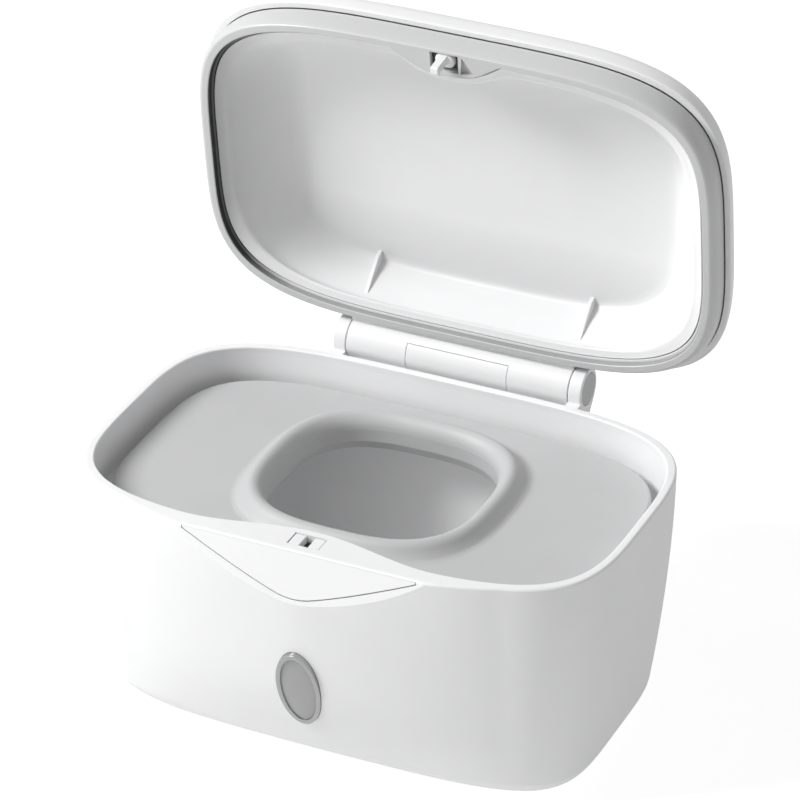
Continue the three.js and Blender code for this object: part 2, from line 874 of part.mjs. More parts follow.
function frameRing() {
  const levels = [{ z: lidFloor, outline: lidMouthOutline(0) }];
  for (const share of rollShares) {
    const rise = share * rollRise;
    levels.push({ z: lidFloor + rise, outline: frameOutline(rise, 0) });
  }
  levels.push({ z: lidFloor + frameHeight, outline: frameOutline(frameHeight, 0) });
  levels.push({ z: lidFloor + frameHeight, outline: frameOutline(frameHeight, frameWall) });
  levels.push({ z: lidFloor + lipHeight, outline: frameOutline(lipHeight, frameWall) });
  levels.push({ z: lidFloor + lipHeight, outline: lidMouthOutline(0) });
  return solid(loft(levels, true));
}

function sector(inner, outer, halfAngle) {
  const shape = new THREE.Shape();
  shape.absarc(0, 0, outer, panelAngle - halfAngle, panelAngle + halfAngle, false);
  shape.absarc(0, 0, inner, panelAngle + halfAngle, panelAngle - halfAngle, true);
  return shape;
}

function panelTile(inner, outer, halfAngle, halfWidth) {
  return slabX(sector(inner, outer, halfAngle), -halfWidth, halfWidth).translate(0, hingeY, hingeZ);
}

function hingeBarrel() {
  const root = bodyDepth / 2 - frameWall / 2;
  const drum = solid(rod(barrelRadius, -barrelHalfWidth, barrelHalfWidth, hingeY, hingeZ));
  const web = solid(block(
    [-barrelHalfWidth, barrelHalfWidth],
    [root, hingeY],
    [rimZ + webBottom, rimZ + webTop],
  ));
  const cavityHalf = barrelHalfWidth - barrelEndWall;
  const cavity = solid(rod(barrelCavityRadius, -cavityHalf, cavityHalf, hingeY, hingeZ));
  const through = barrelHalfWidth + overrun;
  const bore = solid(rod(bushRadius + gap, -through, through, hingeY, hingeZ, smallSegments));
  const inner = barrelRadius - panelThickness - gap;
  const slack = gap / barrelRadius;
  const recess = solid(panelTile(
    inner,
    barrelRadius + overrun,
    panelHalfAngle + slack,
    panelHalfWidth + gap,
  ));
  const opening = solid(panelTile(
    barrelCavityRadius - panelThickness,
    barrelRadius,
    panelHalfAngle - panelLedgeAngle,
    panelHalfWidth - panelLedge,
  ));
  return cut(join(drum, web), cavity, bore, recess, opening);
}

function hingePanel() {
  return panelTile(barrelRadius - panelThickness, barrelRadius, panelHalfAngle, panelHalfWidth);
}

function knuckleRoom(side) {
  const inner = side * (barrelHalfWidth);
  const outer = side * (knuckleOuter + gap);
  return solid(rod(barrelRadius + gap, Math.min(inner, outer), Math.max(inner, outer), hingeY, hingeZ));
}

function lidFrame() {
  const hookWindow = solid(block(
    [-hookWindowWidth / 2, hookWindowWidth / 2],
    [hookWindowFront, hookWindowBack],
    [lidFloor - overrun, lidFloor + flangeThickness + gap],
  ));
  const hookRoom = solid(block(
    [-hookPlateHalfWidth - gap, hookPlateHalfWidth + gap],
    [frontY + frameWall, hookWindowBack],
    [lidFloor + flangeThickness, lidFloor + lipHeight + overrun],
  ));
  const notch = polygon([
    [notchLeft, hookWindowBack],
    [notchRight, hookWindowBack],
    [notchApexX, hookWindowFront + gap],
  ]);
  const notchCut = solid(slabZ(notch, lidFloor - overrun, lidFloor + notchDepth));
  const ring = cut(frameRing(), knuckleRoom(-1), knuckleRoom(1));
  return surface(cut(join(ring, hingeBarrel()), hookWindow, hookRoom, notchCut));
}

// The dome, as shares of its crown's inset and of its rise
const domeShares = [
  [0, 0], [0.006, 0.15], [0.03, 0.36], [0.09, 0.57], [0.18, 0.75], [0.33, 0.88], [0.58, 0.96], [1, 1],
];

const innerDomeShares = [[0, 0], [0.03, 0.36], [0.18, 0.75], [0.33, 0.88], [0.58, 0.96], [1, 1]];

function domeOutline(share, inset) {
  return boxOutline({
    halfWidth: coverHalfOuterWidth - share * coverCrownInset - inset,
    halfDepth: coverHalfOuterDepth - share * coverCrownDepthInset - inset,
    shiftY: lidShiftY,
  });
}

function lidCover() {
  const bottom = lidFloor + frameHeight + gap;
  const outer = domeShares.map(([inward, up]) => ({
    z: bottom + up * coverRise,
    outline: domeOutline(inward, 0),
  }));
  const inner = innerDomeShares.map(([inward, up]) => ({
    z: bottom + up * (coverRise - coverSkin),
    outline: domeOutline(inward, coverSkin),
  }));
  return loft([...inner.reverse(), ...outer]);
}

// The liner's dish: shares of how far it has drawn in, of its height and of how far its back has drawn in
const dishShares = [
  [1, 1, 1.75], [0.86, 0.983, 1.24], [0.72, 0.92, 0.87], [0.5, 0.68, 0.24],
  [0.26, 0.27, -0.88], [0.12, 0.06, 0], [0, 0, 0],
];
const ribShares = { foot: dishShares[4], crest: dishShares[3], top: dishShares[2] };

function dishOutline(share, backShare, offset) {
  const inset = grooveWidth + linerStrip - offset;
  const drawn = share * linerInset;
  const back = backShare * linerBackInset;
  const outline = lidMouthOutline(inset + drawn, lidLandReach * (1 - share));
  const halfDepth = frameMouthHalfDepth - inset - drawn;
  const stretch = (drawn - back) / halfDepth;
  return outline.map((point) => new THREE.Vector2(point.x, point.y > 0 ? point.y * (1 + stretch) : point.y));
}

function lidLiner() {
  const edge = lidFloor + linerSunk;
  const floor = edge + stripDrop;
  const inner = dishShares.map(([share, up, back]) => ({
    z: floor + up * linerHeight,
    outline: dishOutline(share, back, 0),
  }));
  const strip = [
    { z: edge, outline: dishOutline(0, 0, linerStrip) },
    { z: edge + linerSkin, outline: dishOutline(0, 0, linerStrip) },
  ];
  const outer = [...dishShares].reverse().map(([share, up, back]) => ({
    z: floor + linerSkin + up * linerHeight,
    outline: dishOutline(share, back, linerSkin * (1 - share / 2)),
  }));
  const dish = solid(loft([...inner, ...strip, ...outer]));
  const wallY = frameMouthHalfDepth - grooveWidth - linerStrip;
  const { foot, crest, top } = ribShares;
  const gusset = polygon([
    [wallY - foot[2] * linerBackInset + linerSkin / 2, floor + foot[1] * linerHeight],
    [wallY - top[2] * linerBackInset + linerSkin / 2, floor + linerHeight],
    [wallY - top[2] * linerBackInset - linerSkin, floor + linerHeight + linerSkin / 2],
    [wallY - crest[2] * linerBackInset - ribReach, floor + crest[1] * linerHeight],
  ]);
  const ribs = [-1, 1].map((side) => solid(slabX(
    gusset,
    side * ribX - ribThickness / 2,
    side * ribX + ribThickness / 2,
  )));
  return surface(join(dish, ...ribs));
}

function lidGasket() {
  const side = (grooveWidth - gasketWidth) / 2;
  const bottom = lidFloor + gasketSunk;
  return loft([
    { z: bottom, outline: lidMouthOutline(side) },
    { z: bottom + gasketHeight, outline: lidMouthOutline(side) },
    { z: bottom + gasketHeight, outline: lidMouthOutline(side + gasketWidth) },
    { z: bottom, outline: lidMouthOutline(side + gasketWidth) },
  ], true);
}

function latchHook() {
  const noseTop = sliderBottom - gap;
  const noseBottom = noseTop - noseHeight;
  const plateBottom = lidFloor + flangeThickness + gap;
  const shoulderFront = hookWindowFront + gap;
  const plateFront = frameWall + 2 * gap - bodyDepth / 2;
  const profile = polygon([
    [tongueFront, noseBottom],
    [tongueBack, noseBottom],
    [tongueBack + noseReach, noseTop - gap],
    [tongueBack + noseReach, noseTop],
    [tongueBack, noseTop],
    [tongueBack, plateBottom],
    [tongueFront, plateBottom],
  ]);
  const tongue = solid(slabX(profile, -tongueWidth / 2, tongueWidth / 2));
  const shoulder = solid(block(
    [-hookHalfWidth, hookHalfWidth],
    [shoulderFront, shoulderFront + hookDepth],
    [lidFloor, plateBottom],
  ));
  const plate = solid(block(
    [-hookPlateHalfWidth, hookPlateHalfWidth],
    [plateFront, plateFront + hookDepth],
    [plateBottom, plateBottom + hookPlateThickness],
  ));
  return surface(join(tongue, shoulder, plate));
}

// Hinge pieces
function hingePin() {
  const end = knuckleOuter - capThickness - 2 * gap;
  return rod(pinRadius, -end, end, hingeY, hingeZ, smallSegments);
}

function hingeCap(side) {
  const outer = side * knuckleOuter;
  const inner = side * (knuckleOuter - capThickness);
  return rod(capRadius, Math.min(inner, outer), Math.max(inner, outer), hingeY, hingeZ);
}

function sleeve(radius, from, to) {
  const whole = solid(rod(radius, from, to, hingeY, hingeZ, smallSegments));
  const bore = solid(rod(pinRadius + gap, from - overrun, to + overrun, hingeY, hingeZ, smallSegments));
  return surface(cut(whole, bore));
}

function hingeBush(side) {
  const inner = side * (barrelHalfWidth - barrelEndWall);
  const outer = side * barrelHalfWidth;
  return sleeve(bushRadius, Math.min(inner, outer), Math.max(inner, outer));
}

function liftSpring() {
  const start = -(barrelHalfWidth - barrelEndWall - gap);
  const radius = barrelCavityRadius - liftSpringWire - gap;
  const geometry = coil(radius, liftSpringWire, liftSpringLength, liftSpringTurns);
  return geometry.rotateY(Math.PI / 2).translate(start, hingeY, hingeZ);
}

function hingeDamper() {
  const end = barrelHalfWidth - barrelEndWall - cavityEndRoom;
  return sleeve(damperRadius, end - damperLength, end);
}

// The scene graph
const part = new THREE.Group();
const plate = new THREE.Group();
const lidHinge = new THREE.Group();
const lid = new THREE.Group();
lidHinge.position.set(0, hingeY, hingeZ);
lidHinge.rotation.x = -lidOpenAngle;
lid.position.set(0, -hingeY, -hingeZ);
lidHinge.add(lid);
part.add(plate, lidHinge);

const white = { colour: 0xf4f4f4, roughness: 0.32 };
const grey = { colour: 0xc6c6c7, roughness: 0.5 };
const dark = { colour: 0x5c5d60, roughness: 0.7 };
const steel = { colour: 0xb9bbbd, roughness: 0.35 };

function add(group, name, geometry, material) {
  const mesh = new THREE.Mesh(geometry, material);
  mesh.name = name;
  group.add(mesh);
}

function addWhite(group, name, geometry) {
  add(group, name, geometry, plastic(name, white.colour, white.roughness));
}

function addGrey(group, name, geometry) {
  add(group, name, geometry, plastic(name, grey.colour, grey.roughness));
}

function addDark(group, name, geometry) {
  add(group, name, geometry, plastic(name, dark.colour, dark.roughness));
}

function addSteel(group, name, geometry) {
  add(group, name, geometry, metal(name, steel.colour, steel.roughness));
}

addWhite(part, 'body_shell', surface(bodyShell()));
addDark(part, 'base_pad', basePad());
addSteel(part, 'window_bezel', windowBezel());
addGrey(part, 'window_pane', windowPane());
addDark(part, 'window_seal', windowSeal());
addWhite(part, 'push_button', pushButton());
addWhite(part, 'latch_guide', latchGuide());
addDark(part, 'catch_slider', catchSlider());
addWhite(part, 'latch_cover', latchCover());
addSteel(part, 'hinge_pin', hingePin());
addGrey(plate, 'plate_top', plateTop());
addGrey(plate, 'plate_base', plateBase());
addWhite(lid, 'lid_cover', lidCover());
addWhite(lid, 'lid_frame', lidFrame());
addWhite(lid, 'lid_liner', lidLiner());
addDark(lid, 'lid_gasket', lidGasket());
addWhite(lid, 'latch_hook', latchHook());
addWhite(lid, 'hinge_panel', hingePanel());
addSteel(lid, 'hinge_spring', liftSpring());
addDark(lid, 'hinge_damper', hingeDamper());

for (const [sideName, side] of [['left', -1], ['right', 1]]) {
  addSteel(part, `latch_screw_${sideName}`, latchScrew(side));
  addSteel(part, `catch_spring_${sideName}`, catchSpring(side));
  addSteel(part, `button_spring_${sideName}`, buttonSpring(side));
  addGrey(part, `hinge_cap_${sideName}`, hingeCap(side));
  addSteel(plate, `plate_weight_${sideName}`, plateWeight(side));
  addGrey(lid, `hinge_bush_${sideName}`, hingeBush(side));
}

export default part;
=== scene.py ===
# Wipes dispenser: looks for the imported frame. Sizes are in millimetres until a mesh is made.
import bpy
import bmesh
import json
import math
import numpy as np
from mathutils import Matrix, Vector


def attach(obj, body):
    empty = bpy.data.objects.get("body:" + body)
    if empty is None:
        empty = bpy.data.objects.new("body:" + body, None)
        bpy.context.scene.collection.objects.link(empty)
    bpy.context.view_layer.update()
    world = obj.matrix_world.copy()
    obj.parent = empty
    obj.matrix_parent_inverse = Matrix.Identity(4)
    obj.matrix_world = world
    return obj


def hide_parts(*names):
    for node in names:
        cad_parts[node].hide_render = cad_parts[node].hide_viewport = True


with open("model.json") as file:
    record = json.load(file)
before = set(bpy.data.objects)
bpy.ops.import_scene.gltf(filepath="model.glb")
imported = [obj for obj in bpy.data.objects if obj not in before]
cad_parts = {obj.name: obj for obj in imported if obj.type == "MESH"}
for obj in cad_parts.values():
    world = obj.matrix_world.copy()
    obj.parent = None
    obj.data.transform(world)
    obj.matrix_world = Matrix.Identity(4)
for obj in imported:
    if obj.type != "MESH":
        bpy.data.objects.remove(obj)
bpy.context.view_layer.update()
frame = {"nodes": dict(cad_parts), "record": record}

MM = 0.001
STEPS = 224

# Camera, as fitted to the photograph
CAM_AZ, CAM_EL = math.radians(24.723), math.radians(30.281)
CAM_PLACE = (0.613963, -1.315960, 0.975063)
FOCAL_PIXELS, PHOTO_PIXELS, SENSOR = 4624.5, 800, 36
camera = bpy.data.objects.new("camera", bpy.data.cameras.new("camera"))
bpy.context.scene.collection.objects.link(camera)
camera.location = CAM_PLACE
camera.rotation_euler = (math.pi / 2 - CAM_EL, 0, CAM_AZ)
camera.data.sensor_width = SENSOR
camera.data.lens = FOCAL_PIXELS / PHOTO_PIXELS * SENSOR
camera.data.clip_start, camera.data.clip_end = 0.1, 20
bpy.context.scene.camera = camera


# Materials
PLASTIC_IOR = 1.5


def new_material(name):
    made = bpy.data.materials.new(name)
    made.use_nodes = True
    nodes = made.node_tree.nodes
    nodes.clear()
    out = nodes.new("ShaderNodeOutputMaterial")
    shader = nodes.new("ShaderNodeBsdfPrincipled")
    made.node_tree.links.new(shader.outputs["BSDF"], out.inputs["Surface"])
    return made, nodes, made.node_tree.links, shader


def noise(nodes, links, coords, scale, detail=3.0, roughness=0.5):
    made = nodes.new("ShaderNodeTexNoise")
    made.inputs["Scale"].default_value = scale
    made.inputs["Detail"].default_value = detail
    made.inputs["Roughness"].default_value = roughness
    links.new(coords.outputs["Object"], made.inputs["Vector"])
    return made


def ramp(nodes, links, source, stops):
    made = nodes.new("ShaderNodeValToRGB")
    line = made.color_ramp
    while len(line.elements) < len(stops):
        line.elements.new(0.5)
    for element, (place, colour) in zip(line.elements, stops):
        element.position = place
        element.color = (*colour, 1)
    links.new(source, made.inputs["Fac"])
    return made


def shade(colour, factor):
    return tuple(min(1, c * factor) for c in colour)


def plastic(name, colour, rough=(0.26, 0.34), grain=0.00002, grain_scale=1600, mottle=0.012, coat=0.0):
    """Moulded plastic: cloudy tone, fine grain in the relief, and patchy gloss."""
    made, nodes, links, shader = new_material(name)
    coords = nodes.new("ShaderNodeTexCoord")
    cloud = noise(nodes, links, coords, 26, 4, 0.55)
    tone = ramp(nodes, links, cloud.outputs["Fac"], [
        (0.35, shade(colour, 1 - mottle)), (0.65, shade(colour, 1 + mottle * 0.4)),
    ])
    links.new(tone.outputs["Color"], shader.inputs["Base Color"])
    patch = noise(nodes, links, coords, 60, 5, 0.6)
    gloss = nodes.new("ShaderNodeMapRange")
    gloss.inputs["To Min"].default_value = rough[0]
    gloss.inputs["To Max"].default_value = rough[1]
    links.new(patch.outputs["Fac"], gloss.inputs["Value"])
    links.new(gloss.outputs["Result"], shader.inputs["Roughness"])
    fine = noise(nodes, links, coords, grain_scale, 2, 0.6)
    bump = nodes.new("ShaderNodeBump")
    bump.inputs["Strength"].default_value = 0.35
    bump.inputs["Distance"].default_value = grain
    links.new(fine.outputs["Fac"], bump.inputs["Height"])
    links.new(bump.outputs["Normal"], shader.inputs["Normal"])
    shader.inputs["IOR"].default_value = PLASTIC_IOR
    shader.inputs["Coat Weight"].default_value = coat
    shader.inputs["Coat Roughness"].default_value = 0.08
    return made


def principled(material):
    return next(node for node in material.node_tree.nodes if node.type == "BSDF_PRINCIPLED")


def along(material, axis, start, end, low=0.0, high=1.0):
    """A value that goes from low to high between two places on an axis of the object."""
    nodes, links = material.node_tree.nodes, material.node_tree.links
    coords = nodes.new("ShaderNodeTexCoord")
    split = nodes.new("ShaderNodeSeparateXYZ")
    links.new(coords.outputs["Object"], split.inputs[0])
    made = nodes.new("ShaderNodeMapRange")
    made.inputs["From Min"].default_value = start * MM
    made.inputs["From Max"].default_value = end * MM
    made.inputs["To Min"].default_value = low
    made.inputs["To Max"].default_value = high
    links.new(split.outputs[axis], made.inputs["Value"])
    return made.outputs["Result"]


def metal(name, colour, rough=(0.12, 0.22), stretch=(1, 40, 40), depth=0.00001):
    """Polished or drawn metal with fine lines along one axis."""
    made, nodes, links, shader = new_material(name)
    coords = nodes.new("ShaderNodeTexCoord")
    mapping = nodes.new("ShaderNodeMapping")
    mapping.inputs["Scale"].default_value = stretch
    links.new(coords.outputs["Object"], mapping.inputs["Vector"])
    lines = nodes.new("ShaderNodeTexNoise")
    lines.inputs["Scale"].default_value = 60
    lines.inputs["Detail"].default_value = 4
    links.new(mapping.outputs["Vector"], lines.inputs["Vector"])
    stops = [(0.3, shade(colour, 0.94)), (0.7, shade(colour, 1.03))]
    tone = ramp(nodes, links, lines.outputs["Fac"], stops)
    links.new(tone.outputs["Color"], shader.inputs["Base Color"])
    gloss = nodes.new("ShaderNodeMapRange")
    gloss.inputs["To Min"].default_value = rough[0]
    gloss.inputs["To Max"].default_value = rough[1]
    links.new(lines.outputs["Fac"], gloss.inputs["Value"])
    links.new(gloss.outputs["Result"], shader.inputs["Roughness"])
    bump = nodes.new("ShaderNodeBump")
    bump.inputs["Strength"].default_value = 0.3
    bump.inputs["Distance"].default_value = depth
    links.new(lines.outputs["Fac"], bump.inputs["Height"])
    links.new(bump.outputs["Normal"], shader.inputs["Normal"])
    shader.inputs["Metallic"].default_value = 1.0
    return made


WHITE = (0.86, 0.862, 0.868)
FRAME_TONE = (0.59, 0.592, 0.595)
GREY = (0.512, 0.514, 0.519)
white_shell = plastic("white_shell", WHITE)
white_lid = plastic("white_lid", WHITE)
frame_white = plastic("frame_white", FRAME_TONE, rough=(0.28, 0.30), mottle=0.004)
white_inner = plastic("white_inner", (0.935, 0.937, 0.94), rough=(0.34, 0.42))
grey_plate = plastic(
    "grey_plate", GREY, rough=(0.46, 0.56), grain=0.00005, grain_scale=2200, mottle=0.02,
)
grey_cap = plastic("grey_cap", (0.50, 0.50, 0.505), rough=(0.4, 0.5), grain=0.00003)
pane_grey = plastic("pane_grey", (0.36, 0.36, 0.365), rough=(0.10, 0.16), grain=0.00001, coat=0.4)
dark_rubber = plastic("dark_rubber", (0.06, 0.06, 0.062), rough=(0.6, 0.72), grain=0.00006, mottle=0.06)
dark_nylon = plastic("dark_nylon", (0.05, 0.05, 0.052), rough=(0.42, 0.52), grain=0.00003, mottle=0.04)
natural_nylon = plastic("natural_nylon", (0.62, 0.61, 0.58), rough=(0.4, 0.5), grain=0.00003)


def shaded(material, dark, factor):
    """Paints shade into a material: turns its colour towards a dark one where the factor is low."""
    nodes, links = material.node_tree.nodes, material.node_tree.links
    colour = principled(material).inputs["Base Color"]
    mix = nodes.new("ShaderNodeMix")
    mix.data_type = "RGBA"
    mix.inputs["A"].default_value = (*dark, 1)
    links.new(factor, mix.inputs["Factor"])
    links.new(colour.links[0].from_socket, mix.inputs["B"])
    links.new(mix.outputs["Result"], colour)


# Painted shade: the dish's left end and its lower part near the hinge are drawn darker, for the shade that
# the photograph shows there
shaded(white_inner, shade(WHITE, 0.6), along(white_inner, "X", -98, -70))
shaded(white_inner, shade(WHITE, 0.86), along(white_inner, "Z", 132, 156))
# The inner walls of the box shine faintly, since the photograph shows them brighter than the light makes them
white_inside = plastic("white_inside", WHITE, rough=(0.34, 0.42))
principled(white_inside).inputs["Emission Color"].default_value = (1, 1, 1, 1)
white_inside.node_tree.links.new(
    along(white_inside, "X", -60, 60, 0.02, 0.15), principled(white_inside).inputs["Emission Strength"],
)


def seal_rubber_painted_shade(name, dark, light):
    """Rubber with painted shade: dark on the left, where the seal lies in the shade of the lip, and lighter
    elsewhere.
    """
    made = plastic(name, light, rough=(0.5, 0.62), grain=0.00004, mottle=0.05)
    shaded(made, dark, along(made, "X", -90, -70))
    return made


# Both carry painted shade on the left; the fin's material is dark grey elsewhere too, as painted shade in the
# groove
seal_fin_painted_shade = seal_rubber_painted_shade("seal_fin_painted_shade", (0.018, 0.018, 0.019), (0.32, 0.322, 0.326))
seal_grey = seal_rubber_painted_shade("seal_grey", (0.11, 0.11, 0.112), (0.78, 0.782, 0.786))
ring_satin = metal("ring_satin", (0.43, 0.432, 0.436), rough=(0.26, 0.34))
drawn_steel = metal("drawn_steel", (0.56, 0.57, 0.58), rough=(0.24, 0.36))


# Meshes
def to_object(name, verts, faces, material):
    mesh = bpy.data.meshes.new(name)
    mesh.from_pydata([tuple(v) for v in np.asarray(verts, float) * MM], [], faces)
    mesh.materials.append(material)
    made = bpy.data.objects.new(name, mesh)
    bpy.context.scene.collection.objects.link(made)
    return made


def loft(levels, closed=False):
    """Vertices and faces through loops of equal count, with end faces unless closed."""
    count = len(levels[0])
    verts = np.concatenate(levels)
    faces = []
    bands = len(levels) if closed else len(levels) - 1
    for band in range(bands):
        low, high = band * count, ((band + 1) % len(levels)) * count
        for i in range(count):
            j = (i + 1) % count
            faces.append((low + i, low + j, high + j, high + i))
    if not closed:
        last = (len(levels) - 1) * count
        faces.append(tuple(range(count - 1, -1, -1)))
        faces.append(tuple(range(last, last + count)))
    return verts, faces


def at(outline, z):
    return np.c_[outline, np.full(len(outline), z)]


def boolean(target, tools, operation):
    for tool in tools:
        change = target.modifiers.new("change", "BOOLEAN")
        change.operation = operation
        change.solver = "EXACT"
        change.object = tool
    graph = bpy.context.evaluated_depsgraph_get()
    mesh = bpy.data.meshes.new_from_object(target.evaluated_get(graph))
    target.modifiers.clear()
    old = target.data
    target.data = mesh
    bpy.data.meshes.remove(old)
    for tool in tools:
        bpy.data.objects.remove(tool)


def outward(target):
    """Turns all faces outward."""
    work = bmesh.new()
    work.from_mesh(target.data)
    bmesh.ops.recalc_face_normals(work, faces=work.faces)
    work.to_mesh(target.data)
    work.free()


def move_mesh(target, matrix):
    """Applies a matrix in millimetres to a mesh in metres."""
    target.data.transform(Matrix.Scale(1 / MM, 4))
    target.data.transform(matrix)
    target.data.transform(Matrix.Scale(MM, 4))


def soften(target, width, segments, limit=30):
    """Rounds the edges that are sharper than a limit in degrees."""
    soft = target.modifiers.new("soft", "BEVEL")
    soft.width, soft.segments, soft.angle_limit = width * MM, segments, math.radians(limit)


def wear(target, material):
    """Makes a material the only one of an object."""
    target.data.materials.clear()
    target.data.materials.append(material)


def smooth(target, limit=12.0, clean=1e-6):
    """Sharp edges by angle, smooth faces, and normals that follow the large faces."""
    work = bmesh.new()
    work.from_mesh(target.data)
    bmesh.ops.remove_doubles(work, verts=work.verts, dist=clean)
    bmesh.ops.dissolve_degenerate(work, edges=work.edges, dist=clean)
    for edge in work.edges:
        edge.smooth = not (len(edge.link_faces) == 2 and edge.calc_face_angle(0) > math.radians(limit))
    for face in work.faces:
        face.smooth = True
    work.to_mesh(target.data)
    work.free()
    weigh = target.modifiers.new("weigh", "WEIGHTED_NORMAL")
    weigh.keep_sharp = True
    weigh.weight = 80


def place(target, body, nodes, slot=None):
    """Rides an object on a body, in place of CAD nodes; the slot argument is not used."""
    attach(target, body)
    if nodes:
        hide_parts(*nodes)
    return target


def turned(verts, matrix):
    flat = np.asarray(verts, float)
    return flat @ np.array(matrix.to_3x3()).T + np.array(matrix.translation)


def placed_tool(verts, faces, matrix):
    if matrix is None:
        return to_object("tool", verts, faces, white_shell)
    if matrix.determinant() < 0:
        faces = [face[::-1] for face in faces]
    return to_object("tool", turned(verts, matrix), faces, white_shell)


def box_tool(x, y, z, matrix=None):
    around = ((x[0], y[0]), (x[1], y[0]), (x[1], y[1]), (x[0], y[1]))
    corners = np.array([(a, b, c) for c in z for a, b in around])
    verts, faces = loft([corners[:4], corners[4:]])
    return placed_tool(verts, faces, matrix)


def prism_tool(points, from_z, to_z, matrix=None):
    outline = np.asarray(points, float)
    following = np.roll(outline, -1, 0)
    if (outline[:, 0] * following[:, 1] - outline[:, 1] * following[:, 0]).sum() < 0:
        outline = outline[::-1]
    verts, faces = loft([at(outline, from_z), at(outline, to_z)])
    return placed_tool(verts, faces, matrix)


def circle(radius, segments=96, centre=(0, 0)):
    turn = np.arange(segments) / segments * 2 * math.pi
    return np.c_[centre[0] + radius * np.cos(turn), centre[1] + radius * np.sin(turn)]


def rod_matrix(y, z):
    """Local Z goes along +X, local X along +Y, local Y along +Z."""
    return Matrix(((0, 0, 1, 0), (1, 0, 0, y), (0, 1, 0, z), (0, 0, 0, 1)))


def rod_tool(radius, x, y, z):
    return prism_tool(circle(radius), x[0], x[1], rod_matrix(y, z))


def rounded_rod(radius, start, end, edge, segments):
    """Loops of a rod with a small rounding at both ends."""
    levels = []
    for turn in np.linspace(0, math.pi / 2, 5):
        ring = circle(radius - edge * (1 - math.sin(turn)), segments)
        levels.append(at(ring, start + edge * (1 - math.cos(turn))))
    for turn in np.linspace(math.pi / 2, 0, 5):
        ring = circle(radius - edge * (1 - math.sin(turn)), segments)
        levels.append(at(ring, end - edge * (1 - math.cos(turn))))
    return levels


# Sizes, the same as in the CAD
BODY_W, BODY_D, BODY_H = 210, 132, 101
WALL, FLOOR = 3.43, 3
SIDE_LEAN, DEPTH_LEAN = 9.5, 12.7
FILLET_REACH, FILLET_RISE = 19, 12.5
PROW, PROW_HALF, PROW_RISE = 9.4, 75, 45
GAP = 0.3
LAND_T, LAND_REACH, LAND_HALF = 3.2, 8.4, 52
CREASE_Y, FACET = -69.3, math.radians(15.7)
PAD_PROUD, PAD_T, PAD_INSET = 0.6, 1.6, 6
RIM = PAD_PROUD + BODY_H
LAND_BOTTOM = RIM - LAND_T
FLOOR_TOP = PAD_PROUD + FLOOR
HINGE_Y, HINGE_Z = 75.37, RIM + 2.87
BARREL_R, BARREL_HALF = 8.08, 45.7
KNUCKLE_OUT = BARREL_HALF + GAP + 5.2
PIN_R, CAP_R, CAP_T = 2, 6.4, 1.2
LID_ANGLE = math.radians(82.6)
LID_FLOOR = RIM + GAP
BUTTON_HALF, BUTTON_TOP, BUTTON_DEPTH, BUTTON_TIP = 46, -0.9, 18.6, 1.5
BUTTON_ROUND, BUTTON_BOW, BUTTON_SKIN, BUTTON_TRAVEL = 6, 1.2, 1.6, 1.5
CORE_T, CORE_TOP, CORE_HALF = 1.9, -3.9, 28
FLANGE_T, FLANGE_TOP, FLANGE_HALF, FLANGE_LAP = 1.4, -8, 24, 0.5
BOSS_R, BOSS_X, BOSS_Y = 2.6, 33, -64.8
BRACKET_X, BRACKET_HALF, BRACKET_OUT, BRACKET_DROP = 60, 1.5, 9.4, 26
COVER_DROP, COVER_WALL = 25, 1.8
GUIDE_W, GUIDE_D, GUIDE_Y, GUIDE_EASE, GUIDE_FRONT_EASE = 12.5, 7.25, -61.4, 0.12, 0.35
WINDOW_Z, WINDOW_A, WINDOW_B, WINDOW_BAND = 42.6, 8.8, 17.6, 1.9
WINDOW_TILT = math.radians(14)
PLATE_Z = RIM - 12
PLATE_LOW = PLATE_Z - 9
PLATE_W, PLATE_D, PLATE_P, PLATE_SHIFT, PLATE_REACH = 96.2, 57.9, (4.8, 3.7, 3.7), 1, 5
PLATE_SKIN = 2.2
HOLE_W, HOLE_D, HOLE_P, HOLE_SHIFT = 40, 38.1, (2.85, 2.85, 2.85), 1.5
COLLAR_W, COLLAR_H = 11.4, 5.4
SIDE_P, FRONT_P, BACK_P, BASE_P = 4.3, 3.89, 3.75, 4.9
# Depth by which a piece that is joined to another reaches into it
BITE = 0.2


def outline_box(half_w, half_d, powers=(SIDE_P, FRONT_P, BACK_P), shift=0.0, front=None, steps=STEPS):
    """A superellipse with own powers at the sides, in front and behind, and a shaped front."""
    side, ahead, behind = powers
    share = np.arange(steps) / steps * 4
    corner = np.floor(share + 1e-9)
    even = (share - corner) * math.pi / 2
    pulled = even + 0.30 * np.sin(4 * even) / 4
    turn = corner * math.pi / 2 + np.arctan(np.abs(np.tan(pulled)) ** (side / 2))
    across, along = np.cos(turn), np.sin(turn)
    power = np.where(along < 0, ahead, behind)
    x = half_w * np.sign(across) * np.abs(across) ** (2 / side)
    y = half_d * np.sign(along) * np.abs(along) ** (2 / power)
    if front is not None:
        y = y + np.where(along < 0, front(x), 0)
    return np.c_[x, shift + y]


def prow(x):
    share = np.minimum(1, np.abs(x) / PROW_HALF)
    return (1 - share ** 1.5) ** 1.05


def land_bell(x):
    share = np.minimum(1, np.abs(x) / LAND_HALF)
    return np.cos(share * math.pi / 2) ** 2


def lid_bell(x):
    share = np.minimum(1, np.abs(x) / 21.5)
    return (1 - share ** 2.6) ** 1.2


def body_outline(height, inset):
    """The box at a height above its foot, which leans in and is rounded downward."""
    lean = max(0.0, 1 - height / BODY_H) ** 1.72
    roll = max(0.0, 1 - height / FILLET_RISE)
    fillet = FILLET_REACH * (1 - math.sqrt(max(0.0, 1 - roll ** 2)))
    rise = min(1.0, height / PROW_RISE)
    reach = PROW * math.sin(rise * math.pi / 2) ** 1.3
    powers = tuple(p + (BASE_P - p) * lean for p in (SIDE_P, FRONT_P, BACK_P))
    return outline_box(
        BODY_W / 2 - SIDE_LEAN * lean - fillet - inset,
        BODY_D / 2 - DEPTH_LEAN * lean - fillet - inset,
        powers, front=lambda x: -reach * prow(x),
    )


